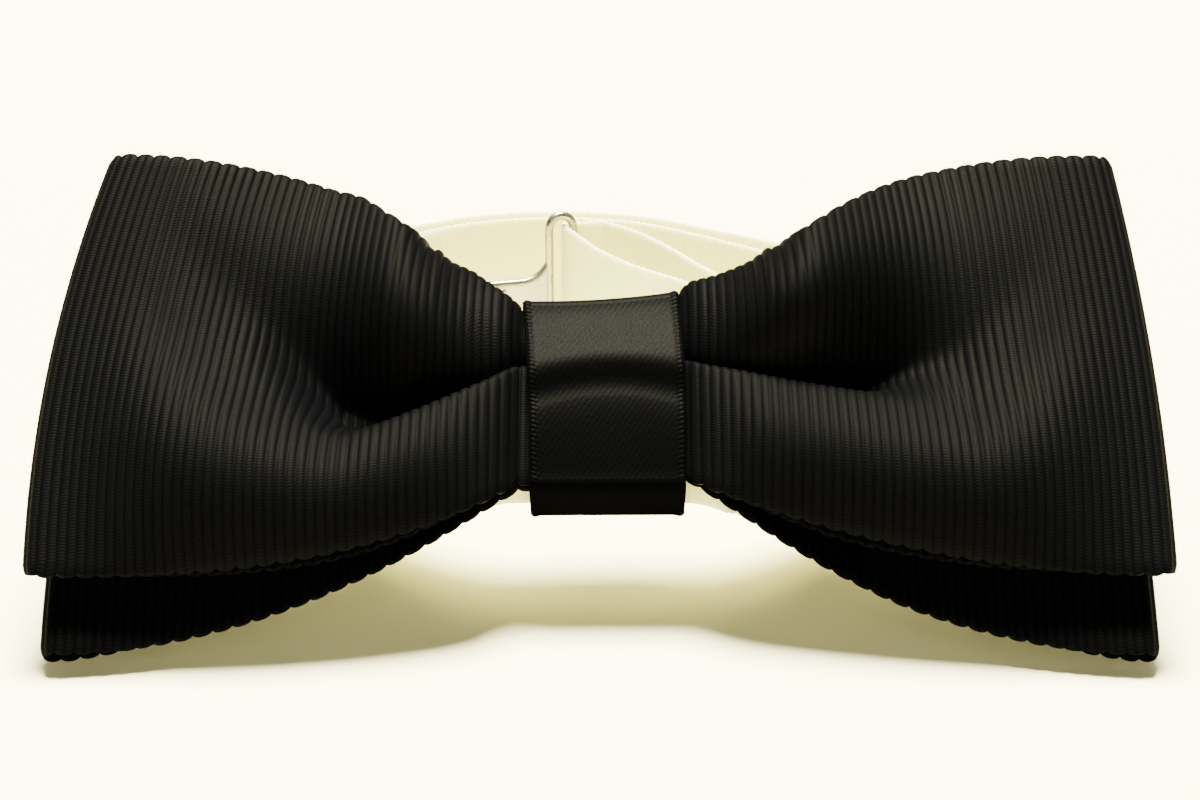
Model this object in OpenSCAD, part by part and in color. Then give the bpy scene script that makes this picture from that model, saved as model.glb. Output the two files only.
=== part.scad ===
// Ready-tied bow tie: two stacked loops of ribbed ribbon, pinched by a satin centre band,
// on an adjustable neck strap with a slide, a hook and an eye. Millimetres, +Z up.
// It lies as it rests on a table: the bow leans back, the strap stands coiled on its edge.

/* [Bow loops] */
// Width of the black ribbon that both loops are folded from
ribbon_w = 50; // [40:0.5:62]
// Thickness of the black ribbon
ribbon_t = 0.5; // [0.4:0.05:0.6]
// Overall width of the front loop, fold to fold
front_span = 110.4; // [90:0.2:135]
// How much the rear loop falls short of the front loop at each end
rear_inset = 1.7; // [0:0.1:6]
// How far the rear loop sits below the front loop at the wing ends
rear_drop = 6; // [3:0.5:9]
// Lean of the bow back from upright, in degrees
lean = 49.3; // [40:0.1:60]
// How far the front panel's lobes stand out half-way along a wing
lobe_depth = 2.2; // [0.5:0.1:2.6]
// How far the rear panel bulges back half-way along a wing
rear_bulge = 2.8; // [2:0.1:3.5]

/* [Knot] */
// Width of the satin centre band
band_w = 15.6; // [12:0.1:20]
// Thickness of the satin ribbon
band_t = 0.45; // [0.3:0.05:0.6]
// Height of the gathered ribbon inside the knot
gather_h = 20.4; // [17:0.1:26]
// Thickness of one gathered layer inside the knot
gather_t = 1; // [0.8:0.05:1.3]
// Thickness of the binding and stitching thread
thread_t = 0.3; // [0.2:0.05:0.4]

/* [Neck strap] */
// Width of the cream strap ribbon
strap_w = 19; // [14:0.5:22]
// Thickness of the strap ribbon
strap_t = 0.6; // [0.4:0.05:0.8]
// Gap between the two layers of the doubled strap beside the slide, middle to middle
ply_gap = 3.2; // [3:0.1:4]
// Length of the ribbon tail sewn round the slide's middle bar
tail_l = 9; // [6:0.5:11]

/* [Hardware] */
// Diameter of the wire bars of the slide, hook and eye
wire_d = 1.4; // [1:0.1:1.6]
// Distance between neighbouring bars of the slide
slide_pitch = 4.2; // [3.8:0.1:5]
// Distance between the two bars of the hook and of the eye
frame_pitch = 3.8; // [3.6:0.1:4.5]
// Length of the hook's tongue from its outer bar
tongue_l = 11; // [8:0.5:13]
// Width of the hook's tongue
tongue_w = 5; // [3.5:0.1:6]
// Thickness of the stamped rails and the tongue
plate_t = 1.2; // [0.8:0.1:1.4]

/* [Hidden] */

// Clearances
layer_gap = 0.08;   // between gathered layers in the knot
thread_gap = 0.05;  // round the binding thread
pass_gap = 0.15;    // round the strap in the knot
wrap_gap = 0.3;     // between a ribbon turn and the bar inside it
slide_gap = 0.3;    // between the strap and the slide's outer bars
rail_gap = 0.4;     // between a strap edge and a rail
foot_gap = 0.3;     // between the hardware and the table
sew_proud = 0.08;   // how far a stitch stands out of its ribbon

// The bow's own frame: x across, u up along the leaning ribbon, w out of the front
fold_r = 1.3;                      // inner turn at each wing end, to the ribbon's middle
knot_edge = band_w / 2 + 0.4;      // where the gathered ribbon starts to open
knot_low = 12.4;                   // lower edge of the gather, from the front loop's lower corner
knot_mid = knot_low + gather_h / 2;
stack_front = -2.95 - thread_t - 2 * thread_gap;   // front of the gathered stack
layer_step = gather_t + layer_gap;
function stack_w(k) = stack_front - gather_t / 2 - k * layer_step;
stack_back = stack_w(3) - gather_t / 2;
strap_w0 = stack_back - thread_t - 2 * thread_gap - pass_gap - strap_t / 2;
band_front = stack_front + thread_t + 2 * thread_gap;
band_back = strap_w0 - strap_t / 2 - pass_gap;
band_top = knot_low + gather_h + thread_t + 2 * thread_gap;
band_low = knot_low - thread_t - 2 * thread_gap;

// Smooth steps and waves used by the wing surfaces, f from 0 at the knot to 1 at the wing end
function mix(a, b, f) = a + (b - a) * f;
function ease(f) = f * f * (3 - 2 * f);
function clip(f) = max(0, min(1, f));
function open_h(f) = gather_h + (ribbon_w * 0.98 - gather_h) * pow(sin(90 * f), 0.9);
function front_low(f) = 1 + (knot_low - 1) * pow(1 - f, 2.6);
function rear_low(f) = 1 - rear_drop + (knot_low - 1 + rear_drop) * pow(1 - f, 2);
function lobes(s) = cos(600 * (s - 0.28)) * lobe_depth + 0.4;
function hump(f) = pow(sin(180 * f), 1.2);
function late_hump(f) = pow(sin(180 * f), 2);
function thick(f) = mix(gather_t, ribbon_t, ease(clip(f * 4)));

// Middle surface of the four panels, front to back
function panel_w(k, f, s) =
    k == 0 ? mix(stack_w(0), -ribbon_t / 2, ease(f)) + hump(f) * lobes(s) :
    k == 1 ? mix(stack_w(1), -ribbon_t / 2 - 2 * fold_r, ease(f)) - hump(f) * 1.5 :
    k == 2 ? mix(stack_w(2), -ribbon_t / 2 - 2 * fold_r - 1.2, ease(f)) - hump(f) * 1.5 :
    mix(stack_w(3), -ribbon_t / 2 - 4 * fold_r - 1.2, ease(f)) - late_hump(f) * rear_bulge;
function low(k, f) = k < 2 ? front_low(f) : rear_low(f);
function half_span(k, s) = front_span / 2 - (k < 2 ? 0 : rear_inset) - 5.4 * pow(s - 0.45, 2);
function wing_x(k, f, s) = knot_edge + (half_span(k, s) - fold_r - ribbon_t / 2 - knot_edge) * f;

// One loop is a ring of stations: front panel left to right, right fold, back panel, left fold
wing_steps = 13;
turn_steps = 5;
width_steps = 10;
function wing_f(i) = clip(abs(i) - 1 < 0 ? 0 : (abs(i) - 1) / (wing_steps - 1));
function on_panel(k, i, s) = let(f = wing_f(i))
    [sign(i) * (abs(i) < 1 ? 0 : wing_x(k, f, s)), low(k, f) + open_h(f) * s, panel_w(k, f, s)];
function on_fold(k, side, a, s) = let(e = on_panel(k, side * wing_steps, s),
    m = (panel_w(k, 1, s) + panel_w(k + 1, 1, s)) / 2)
    [e[0] + side * fold_r * sin(a), e[1], m + fold_r * cos(a)];
function loop_ring(k, s) = concat(
    [for (i = [-wing_steps:wing_steps]) on_panel(k, i, s)],
    [for (j = [1:turn_steps]) on_fold(k, 1, 180 * j / (turn_steps + 1), s)],
    [for (i = [-wing_steps:wing_steps]) on_panel(k + 1, -i, s)],
    [for (j = [1:turn_steps]) on_fold(k, -1, 180 - 180 * j / (turn_steps + 1), s)]);
function ring_f() = let(panel = [for (i = [-wing_steps:wing_steps]) wing_f(i)],
    fold = [for (j = [1:turn_steps]) 1]) concat(panel, fold, panel, fold);
function out_normal(p, q) = let(d = [q[0] - p[0], q[2] - p[2]]) [-d[1], 0, d[0]] / norm(d);
function loop_skin(k, s, side) = let(ring = loop_ring(k, s), f = ring_f(), n = len(ring))
    [for (i = [0:n - 1])
        ring[i] + side * thick(f[i]) / 2 * out_normal(ring[(i + n - 1) % n], ring[(i + 1) % n])];

// The lowest point of the rear loop sets how high the bow's frame stands
function height_of(p) = p[1] * cos(lean) + p[2] * sin(lean);
lowest = min([for (side = [-1, 1]) for (p = loop_skin(2, 0, side)) height_of(p)]);
bow_y = -52.04;
bow_z = -lowest;
module in_bow() {
    translate([0, bow_y, bow_z]) rotate([90 - lean, 0, 0]) children();
}

module ribbon_loop(k) {
    n = len(ring_f());
    rows = width_steps + 1;
    skins = [for (side = [1, -1]) for (j = [0:width_steps]) loop_skin(k, j / width_steps, side)];
    function at(side, j, i) = ((side > 0 ? 0 : rows) + j) * n + i % n;
    function quad(a, b, c, d) = [[a, b, c], [a, c, d]];
    faces = [for (i = [0:n - 1]) each concat(
        [for (j = [0:width_steps - 1]) each quad(
            at(1, j, i), at(1, j + 1, i), at(1, j + 1, i + 1), at(1, j, i + 1))],
        [for (j = [0:width_steps - 1]) each quad(
            at(-1, j, i), at(-1, j, i + 1), at(-1, j + 1, i + 1), at(-1, j + 1, i))],
        quad(at(1, 0, i), at(1, 0, i + 1), at(-1, 0, i + 1), at(-1, 0, i)),
        quad(at(1, rows - 1, i), at(-1, rows - 1, i), at(-1, rows - 1, i + 1), at(1, rows - 1, i + 1)))];
    in_bow() polyhedron(points = [for (row = skins) each row], faces = faces, convexity = 8);
}

module front_bow_loop() { color("#1a1a18") ribbon_loop(0); }
module rear_bow_loop() { color("#161615") ribbon_loop(2); }

// Five running stitches through the overlapped ends of a loop, behind panel k
module loop_seam(k) {
    for (j = [-2:2])
        in_bow() translate([0, knot_mid + j * gather_h / 6, stack_w(k)])
            cube([thread_t, gather_h / 9, gather_t + layer_gap], center = true);
}
module front_loop_seam() { color("#2a2a28") loop_seam(1); }
module rear_loop_seam() { color("#2a2a28") loop_seam(3); }

// A rectangle with round corners in the u-w plane, made of exact arcs
module round_box(u0, u1, w0, w1, r) {
    translate([u0 + r, w0]) square([u1 - u0 - 2 * r, w1 - w0]);
    translate([u0, w0 + r]) square([u1 - u0, w1 - w0 - 2 * r]);
    for (u = [u0 + r, u1 - r]) for (w = [w0 + r, w1 - r]) translate([u, w]) circle(r, $fn = 32);
}
// Stands a u-w outline across x, from x0 over a length
module across(x0, length) {
    in_bow() translate([x0, 0, 0]) rotate([90, 0, 90]) linear_extrude(length) children();
}

module gather_thread() {
    color("#2a2a28") for (x = [-3, 0, 3]) across(x - thread_t / 2, thread_t) difference() {
        g = thread_gap + thread_t;
        round_box(knot_low - g, knot_low + gather_h + g, stack_back - g, stack_front + g, 0.6);
        g2 = thread_gap;
        round_box(knot_low - g2, knot_low + gather_h + g2, stack_back - g2, stack_front + g2, 0.15);
    }
}

module centre_band() {
    color("#2e2e2c") across(-band_w / 2, band_w) difference() {
        t = band_t;
        round_box(band_low - t, band_top + t, band_back - t, band_front + t, 1.2);
        round_box(band_low, band_top, band_back, band_front, 0.3);
    }
}

// Closing stitches of the satin ribbon, in a row across the back of the knot
module centre_band_seam() {
    color("#2a2a28") for (j = [-3:3]) in_bow()
        translate([j * band_w / 8.2, knot_mid - gather_h / 4, band_back - band_t / 2 - sew_proud / 2])
            cube([band_w / 16, thread_t, band_t + sew_proud], center = true);
}

// The stretch of neck strap that the knot holds, bent back at both sides
module strap_in_knot() {
    bent = concat([for (s = [4:-1:0]) -mix(held_x, join_x, s / 4)], [for (s = [0:4]) mix(held_x, join_x, s / 4)]);
    front = [for (x = bent) [x, held_w(x) + strap_t / 2]];
    back = [for (i = [len(bent) - 1:-1:0]) [bent[i], held_w(bent[i]) - strap_t / 2]];
    color("#f1eed6") in_bow() translate([0, knot_mid + strap_w / 2, 0]) rotate([90, 0, 0])
        linear_extrude(strap_w) polygon(concat(front, back));
}
// Two short tacks that sew the strap to the back of the band
module strap_anchor_stitches() {
    color("#2a2a28") for (x = [-1, 1]) for (j = [-1, 1]) in_bow()
        translate([x * band_w * 0.3, knot_mid + j * 4, (strap_w0 + strap_t / 2 + band_back - band_t) / 2])
            cube([thread_t, 3, strap_w0 + strap_t / 2 - band_back + band_t], center = true);
}

// The strap outside the knot: a ribbon swept along points [x, y, z, lean]
hold = [0, bow_y + knot_mid * sin(lean) - strap_w0 * cos(lean),
    bow_z + knot_mid * cos(lean) + strap_w0 * sin(lean)];
on_table = strap_w / 2;
raised = strap_w / 2 + rail_gap + plate_t + foot_gap;
settle = (raised - on_table) / 4;
// Both sides leave the knot alike and bend straight back; side is -1 for the left
held_x = band_w / 2 + 0.6;
join_x = band_w / 2 + 5;
join_gap = 0.3;
join_back = 2.2;
function held_w(x) = strap_w0 - join_back * pow(max(0, abs(x) - held_x) / (join_x - held_x), 2);
function leave(side) = [
    [side * (join_x + join_gap), hold[1] + join_back * cos(lean), hold[2] - join_back * sin(lean), lean],
    [side * (join_x + 4.3), hold[1] + 4.2, mix(hold[2], on_table, 0.42), lean - 7],
    [side * (join_x + 9.3), hold[1] + 8.6, mix(hold[2], on_table, 0.62), lean - 17],
    [side * (join_x + 17), hold[1] + 14.6, mix(hold[2], on_table, 0.84), lean - 30]];

// Straight run of the strap that the slide travels on
run_from = [-43, -0.2];
run_aim = [8, 30] / norm([8, 30]);
slide_at = 12.5;
function run_point(d, z) = [run_from[0] + run_aim[0] * d, run_from[1] + run_aim[1] * d, z, 0];
// Far turn of the coil, then the turn on the right and the way back to the hook
far_mid = [-6, 25.8];
far_r = 27.2;
function far_point(a, r) = [far_mid[0] + r * cos(a), far_mid[1] + r * sin(a), on_table, 0];
hook_bar = [-3.6, 38.4];
wrap_r = wire_d / 2 + wrap_gap + strap_t / 2;
out_keys = concat(leave(-1),
    [[-38.6, -11.2, on_table + 0.4, 9]],
    [for (d = [-5, 0, 6, 12, 18, 24]) run_point(d, raised)],
    [run_point(29, raised - settle)],
    [far_point(160, far_r) + [0, 0, settle, 0]],
    [for (a = [140:-20:40]) far_point(a, far_r)],
    [[22, 37.2, on_table, 0], [28.4, 29.6, on_table, 0], [31.6, 20.2, on_table, 0],
     [29.4, 10.4, on_table, 0], [22.6, 5.6, on_table, 0], [15.8, 9.6, on_table, 0],
     [10, 17, on_table + 0.6, 0], [4.4, 23.4, raised - 0.6, 0], [-0.4, 29.4, raised, 0]]);
back_keys = concat(
    [[0.4, 40.2, raised, 0], [4.8, 37, raised - 0.6, 0], [9, 30.6, on_table + 0.8, 0],
     [12.8, 23.6, on_table + 0.2, 0], [17, 16.2, on_table, 0], [21.8, 11.8, on_table, 0],
     [26, 14, on_table, 0], [27.4, 20.8, on_table, 0], [24.4, 27.8, on_table, 0],
     [18.8, 34.2, on_table, 0]],
    [for (a = [54:20.5:136]) far_point(a, far_r - ply_gap - 0.3)],
    [far_point(160, far_r - ply_gap)]);
// Half a turn of ribbon round an upright bar, starting beside it at angle a
function wrap_turn(bar, r, a, step, z) =
    [for (j = [0:6]) [bar[0] + r * cos(a + step * j), bar[1] + r * sin(a + step * j), z, 0]];

// A smooth curve through the key points
function spline(p0, p1, p2, p3, t) = 0.5 * (2 * p1 + (p2 - p0) * t
    + (2 * p0 - 5 * p1 + 4 * p2 - p3) * t * t + (3 * p1 - p0 - 3 * p2 + p3) * t * t * t);
function smooth(keys, steps) = let(n = len(keys), last = n - 1)
    concat([for (i = [0:last - 1]) for (j = [0:steps - 1]) spline(
        i == 0 ? 2 * keys[0] - keys[1] : keys[i - 1], keys[i], keys[i + 1],
        i == last - 1 ? 2 * keys[last] - keys[last - 1] : keys[i + 2], j / steps)], [keys[last]]);

// Four corners of the ribbon at a path point; turn is +1 where the inside is on the right.
// It starts square across x, to meet the knot's stretch of ribbon
square_points = 9;
function flat_aim(p, q) = [q[0] - p[0], q[1] - p[1]] / norm([q[0] - p[0], q[1] - p[1]]);
function corners(path, i, turn, width, t) = let(n = len(path),
    way = flat_aim(path[max(0, i - 1)], path[min(n - 1, i + 1)]),
    mixed = mix([sign(way[0]), 0], way, ease(clip(i / square_points))), aim = mixed / norm(mixed),
    side = turn * [aim[1], -aim[0], 0], p = [path[i][0], path[i][1], path[i][2]],
    up = [0, 0, cos(path[i][3])] + side * sin(path[i][3]),
    out = side * cos(path[i][3]) - [0, 0, sin(path[i][3])])
    [p - up * width / 2 - out * t / 2, p - up * width / 2 + out * t / 2,
     p + up * width / 2 + out * t / 2, p + up * width / 2 - out * t / 2];
module ribbon(path, turn) {
    n = len(path);
    points = [for (i = [0:n - 1]) each corners(path, i, turn, strap_w, strap_t)];
    sides = [for (i = [0:n - 2]) for (c = [0:3]) let(a = 4 * i + c, b = 4 * i + (c + 1) % 4)
        each turn > 0 ? [[a, b, b + 4], [a, b + 4, a + 4]] : [[a, b + 4, b], [a, a + 4, b + 4]]];
    first = turn > 0 ? [[0, 3, 2], [0, 2, 1]] : [[0, 2, 3], [0, 1, 2]];
    e = 4 * (n - 1);
    last = turn > 0 ? [[e, e + 1, e + 2], [e, e + 2, e + 3]] : [[e, e + 2, e + 1], [e, e + 3, e + 2]];
    polyhedron(points = points, faces = concat(sides, first, last), convexity = 10);
}

module long_neck_strap() {
    color("#f1eed6") ribbon(concat(smooth(out_keys, 3),
        wrap_turn(hook_bar, wrap_r, 205, -27, raised), smooth(back_keys, 3)), 1);
}

// The eye stands at the end of the short side of the strap
eye_bar = [43.6, 0.6];
eye_aim = 66;
module short_neck_strap() {
    d = [cos(eye_aim), sin(eye_aim)];
    s = [d[1], -d[0]];
    function beside(along, off) = [eye_bar[0] + d[0] * along + s[0] * off,
        eye_bar[1] + d[1] * along + s[1] * off, raised, 0];
    way = concat(leave(1), [[36.4, -12, on_table + 0.9, 9]], [beside(-8, wrap_r), beside(-4, wrap_r)]);
    back = [beside(-4, -wrap_r), beside(-8, -wrap_r)];
    color("#f1eed6") ribbon(concat(smooth(way, 3),
        wrap_turn(eye_bar, wrap_r, eye_aim - 90, 30, raised), smooth(back, 2)), -1);
}
// Bar tack through the two layers of the fold that holds the eye
module eye_fold_stitches() {
    color("#d9d5bb") for (j = [-2:2]) translate([eye_bar[0], eye_bar[1], raised + j * strap_w / 5.5])
        rotate([0, 0, eye_aim]) translate([-6, 0, 0])
            cube([thread_t, 2 * wrap_r + strap_t + 2 * sew_proud, strap_w / 8], center = true);
}

// Upright bar from rail to rail
rail_z = strap_w / 2 + rail_gap;
module bar() { translate([0, 0, -rail_z]) cylinder(h = 2 * rail_z, d = wire_d, $fn = 32); }
// The pair of rails above and below the strap, from a flat outline
module rails() {
    for (z = [-rail_z - plate_t, rail_z]) translate([0, 0, z]) linear_extrude(plate_t) children();
}
module link_outline(a, b) {
    aim = (b - a) / norm(b - a);
    side = [-aim[1], aim[0]] * wire_d / 2;
    polygon([a + side, a - side, b - side, b + side]);
    for (p = [a, b]) translate(p) circle(d = wire_d, $fn = 32);
}

// Slide with two outer bars outside the strap and a middle bar inside it
end_r = wire_d / 2 + wrap_gap / 2;
mid_off = strap_t / 2 + slide_gap + end_r + strap_t;
outer_off = strap_t / 2 + slide_gap + wire_d / 2;
module on_slide() {
    p = run_point(slide_at, raised);
    translate([p[0], p[1], p[2]]) rotate([0, 0, atan2(run_aim[1], run_aim[0])]) children();
}
module slide_adjuster() {
    color("#c9c4ad") on_slide() {
        for (x = [-slide_pitch, slide_pitch]) translate([x, outer_off, 0]) bar();
        translate([0, -mid_off, 0]) bar();
        rails() for (x = [-slide_pitch, slide_pitch]) link_outline([x, outer_off], [0, -mid_off]);
    }
}
// End of the strap ribbon, turned round the slide's middle bar and sewn down as a short tail
module strap_end_loop() {
    r = end_r + strap_t;
    color("#f1eed6") on_slide() translate([0, -mid_off, -strap_w / 2]) linear_extrude(strap_w) {
        difference() {
            circle(r, $fn = 48);
            circle(end_r, $fn = 48);
        }
        translate([0, -r]) square([tail_l, strap_t]);
    }
}
module end_loop_stitches() {
    color("#d9d5bb") on_slide() for (j = [-2:2])
        translate([tail_l - 2.5, -mid_off - end_r - strap_t / 2, j * strap_w / 5.5])
            cube([thread_t, strap_t + 2 * sew_proud, strap_w / 8], center = true);
}

// Hook: an inner bar that the strap turns round, an outer bar and a tongue with a folded tip
hook_aim = 198;
module hook() {
    tip = frame_pitch + tongue_l;
    color("#b5ae93") translate([hook_bar[0], hook_bar[1], raised]) rotate([0, 0, hook_aim]) {
        bar();
        translate([frame_pitch, 0, 0]) bar();
        rails() link_outline([0, 0], [frame_pitch, 0]);
        translate([frame_pitch, plate_t / 2, 0]) rotate([90, 0, 0]) linear_extrude(plate_t)
            difference() {
                translate([0, -tongue_w / 2 - 3]) square([tongue_l, tongue_w + 6]);
                for (z = [-1, 1]) translate([3.2, z * (tongue_w / 2 + 3)]) circle(3, $fn = 48);
                for (z = [-1, 1]) translate([3.2, z * (tongue_w / 2 + 3) - 3]) square([tongue_l, 6]);
            }
        translate([tip - plate_t, plate_t / 2, -tongue_w / 2]) cube([plate_t, 2.2, tongue_w]);
        translate([tip - 5, plate_t / 2 + 1.4, -tongue_w / 2]) cube([5, 0.8, tongue_w]);
    }
}

// Eye: an inner bar in the strap's fold, and a narrower opening for the tongue beyond it
module eye_ring() {
    slot = tongue_w + 3;
    color("#b5ae93") translate([eye_bar[0], eye_bar[1], raised]) rotate([0, 0, eye_aim]) {
        bar();
        translate([frame_pitch, 0, 0]) bar();
        rails() link_outline([0, 0], [frame_pitch, 0]);
        for (z = [-1, 1]) translate([frame_pitch, -plate_t / 2, z * (slot / 2 + 0.7) - 0.7])
            cube([5.4, plate_t, 1.4]);
        translate([frame_pitch + 4.2, -plate_t / 2, -slot / 2 - 1.4]) cube([1.4, plate_t, slot + 2.8]);
    }
}

front_bow_loop();
rear_bow_loop();
front_loop_seam();
rear_loop_seam();
gather_thread();
centre_band();
centre_band_seam();
strap_in_knot();
strap_anchor_stitches();
long_neck_strap();
short_neck_strap();
slide_adjuster();
strap_end_loop();
end_loop_stitches();
hook();
eye_ring();
eye_fold_stitches();
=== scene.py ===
import math

import bpy
import numpy as np
from bpy.props import FloatProperty, FloatVectorProperty, PointerProperty
from bpy.types import Operator, Panel, PropertyGroup
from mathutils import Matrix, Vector


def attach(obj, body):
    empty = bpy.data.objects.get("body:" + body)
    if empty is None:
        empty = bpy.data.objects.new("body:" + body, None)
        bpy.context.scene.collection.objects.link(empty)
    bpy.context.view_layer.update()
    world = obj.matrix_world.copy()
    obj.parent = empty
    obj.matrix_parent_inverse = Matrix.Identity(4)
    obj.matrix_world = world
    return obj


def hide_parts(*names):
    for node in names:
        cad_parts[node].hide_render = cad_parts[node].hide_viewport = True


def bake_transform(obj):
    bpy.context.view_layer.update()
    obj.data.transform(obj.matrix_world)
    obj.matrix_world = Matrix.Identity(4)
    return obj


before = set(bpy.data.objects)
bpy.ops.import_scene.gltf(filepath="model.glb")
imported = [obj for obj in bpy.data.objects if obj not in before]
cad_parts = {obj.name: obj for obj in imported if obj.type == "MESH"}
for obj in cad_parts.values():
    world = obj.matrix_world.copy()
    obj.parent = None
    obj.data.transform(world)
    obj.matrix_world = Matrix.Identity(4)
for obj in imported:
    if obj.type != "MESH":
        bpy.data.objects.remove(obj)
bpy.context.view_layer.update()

bl_info = {
    "name": "Ready-tied bow tie",
    "version": (1, 0, 0),
    "blender": (4, 5, 0),
    "location": "3D View > Sidebar > Bow Tie",
    "description": "Dresses the bow tie frame in ribbed ribbon, satin, a coiled neck strap and plated fittings",
    "category": "Add Mesh",
}

MM = 0.001
LEAN = math.radians(49.3)
LIGHT_COLOR = (1.0, 0.95, 0.62)
BOW_Y = -52.04
BOW_Z = 8.906


# ---------------------------------------------------------------- settings


class BowTieRibbonSettings(PropertyGroup):
    """The black ribbon of both loops."""

    width: FloatProperty(name="Width", description="Width of the black ribbon in millimetres", default=50.0, min=40, max=62)
    thickness: FloatProperty(name="Thickness", description="Thickness of the ribbon between its ribs, in millimetres", default=0.4, min=0.2, max=0.6)
    rib_height: FloatProperty(name="Rib height", description="How far each rib stands out of either face, in millimetres", default=0.15, min=0.0, max=0.3)
    front_span: FloatProperty(name="Front width", description="Width of the front loop, fold to fold, in millimetres", default=110.4, min=90, max=135)
    rear_span: FloatProperty(name="Rear width", description="Width of the rear loop, fold to fold, in millimetres", default=107.0, min=88, max=132)
    pleat: FloatProperty(name="Pleat", description="How strongly the front panel is pleated towards the knot", default=1.0, min=0.0, max=1.2, subtype="FACTOR")
    color: FloatVectorProperty(name="Colour", description="Colour of the black ribbon", subtype="COLOR", size=3, default=(0.0013, 0.0014, 0.0024), min=0, max=1)


class BowTieKnotSettings(PropertyGroup):
    """The satin centre band."""

    width: FloatProperty(name="Width", description="Width of the satin band in millimetres", default=15.6, min=12, max=20)
    upper_lobe: FloatProperty(name="Upper lobe", description="How far the band's upper lobe stands out, in millimetres", default=1.2, min=0, max=3)
    lower_lobe: FloatProperty(name="Lower lobe", description="How far the band's lower lobe stands out, in millimetres", default=0.4, min=0, max=3)
    color: FloatVectorProperty(name="Colour", description="Colour of the satin", subtype="COLOR", size=3, default=(0.0006, 0.00063, 0.001), min=0, max=1)


class BowTieStrapSettings(PropertyGroup):
    """The cream neck strap."""

    width: FloatProperty(name="Width", description="Width of the strap ribbon in millimetres", default=19.0, min=14, max=22)
    thickness: FloatProperty(name="Thickness", description="Thickness of the strap ribbon in millimetres", default=0.5, min=0.3, max=0.8)
    rib_height: FloatProperty(name="Rib height", description="How far each rib stands out, in millimetres", default=0.05, min=0.0, max=0.2)
    color: FloatVectorProperty(name="Colour", description="Colour of the strap", subtype="COLOR", size=3, default=(1.0, 0.985, 0.50), min=0, max=1)


class BowTieMetalSettings(PropertyGroup):
    """Slide, hook and eye."""

    wire: FloatProperty(name="Wire", description="Diameter of the wire bars in millimetres", default=1.4, min=1, max=1.6)
    color: FloatVectorProperty(name="Colour", description="Colour of the plating", subtype="COLOR", size=3, default=(0.42, 0.39, 0.32), min=0, max=1)


class BowTieStageSettings(PropertyGroup):
    """Floor, light and camera."""

    lens: FloatProperty(name="Lens", description="Focal length of the camera in millimetres", default=62.7, min=20, max=200)
    front_sky: FloatProperty(name="Front sky", description="How bright the surround is in front of the table, against behind it", default=0.1, min=0, max=1)
    key: FloatProperty(name="Key light", description="Power of the large light overhead, in watts", default=600.0, min=0, max=1500)
    fill: FloatProperty(name="Front fill", description="Power of the large light beside the camera, in watts", default=3.0, min=0, max=300)
    sky: FloatProperty(name="Surround", description="Brightness of the white surround", default=1.3, min=0, max=20)
    floor_color: FloatVectorProperty(name="Floor", description="Colour of the table", subtype="COLOR", size=3, default=(0.94, 0.905, 0.72), min=0, max=1)


SETTINGS = {
    "bow_tie_ribbon": BowTieRibbonSettings,
    "bow_tie_knot": BowTieKnotSettings,
    "bow_tie_strap": BowTieStrapSettings,
    "bow_tie_metal": BowTieMetalSettings,
    "bow_tie_stage": BowTieStageSettings,
}


# ---------------------------------------------------------------- small maths


def mix(a, b, t):
    return a + (b - a) * t


def clip(t):
    return np.clip(t, 0.0, 1.0)


def ease(t):
    t = clip(t)
    return t * t * (3 - 2 * t)


def from_bow(x, u, w):
    """Points of the leaning bow: x across, u up along the ribbon, w out of its front."""
    x, u, w = np.broadcast_arrays(x, u, w)
    y = BOW_Y + u * math.sin(LEAN) - w * math.cos(LEAN)
    z = BOW_Z + u * math.cos(LEAN) + w * math.sin(LEAN)
    return np.stack([x, y, z], axis=-1)


def unit(v):
    return v / np.maximum(np.linalg.norm(v, axis=-1, keepdims=True), 1e-9)


def along_steps(points, closed):
    if closed:
        return np.roll(points, -1, axis=0) - np.roll(points, 1, axis=0)
    return np.gradient(points, axis=0)


def surface_normals(grid, closed):
    return unit(np.cross(along_steps(grid, closed), np.gradient(grid, axis=1)))


# ---------------------------------------------------------------- meshes


def mesh_object(name, verts, quads, uvs, material):
    """A smooth mesh from corner points in millimetres, four-cornered faces and one UV pair per face corner."""
    mesh = bpy.data.meshes.new(name)
    verts = np.asarray(verts, float).reshape(-1, 3) * MM
    quads = np.asarray(quads, np.int64).reshape(-1, 4)
    mesh.vertices.add(len(verts))
    mesh.vertices.foreach_set("co", verts.astype(np.float32).ravel())
    mesh.loops.add(quads.size)
    mesh.loops.foreach_set("vertex_index", quads.astype(np.int32).ravel())
    mesh.polygons.add(len(quads))
    mesh.polygons.foreach_set("loop_start", np.arange(0, quads.size, 4, dtype=np.int32))
    mesh.polygons.foreach_set("use_smooth", np.ones(len(quads), bool))
    layer = mesh.uv_layers.new(name="Weave")
    layer.data.foreach_set("uv", np.asarray(uvs, np.float32).ravel())
    mesh.update(calc_edges=True)
    mesh.validate()
    mesh.materials.append(material)
    thing = bpy.data.objects.new(name.replace(" ", "_"), mesh)
    bpy.context.scene.collection.objects.link(thing)
    return thing


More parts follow.
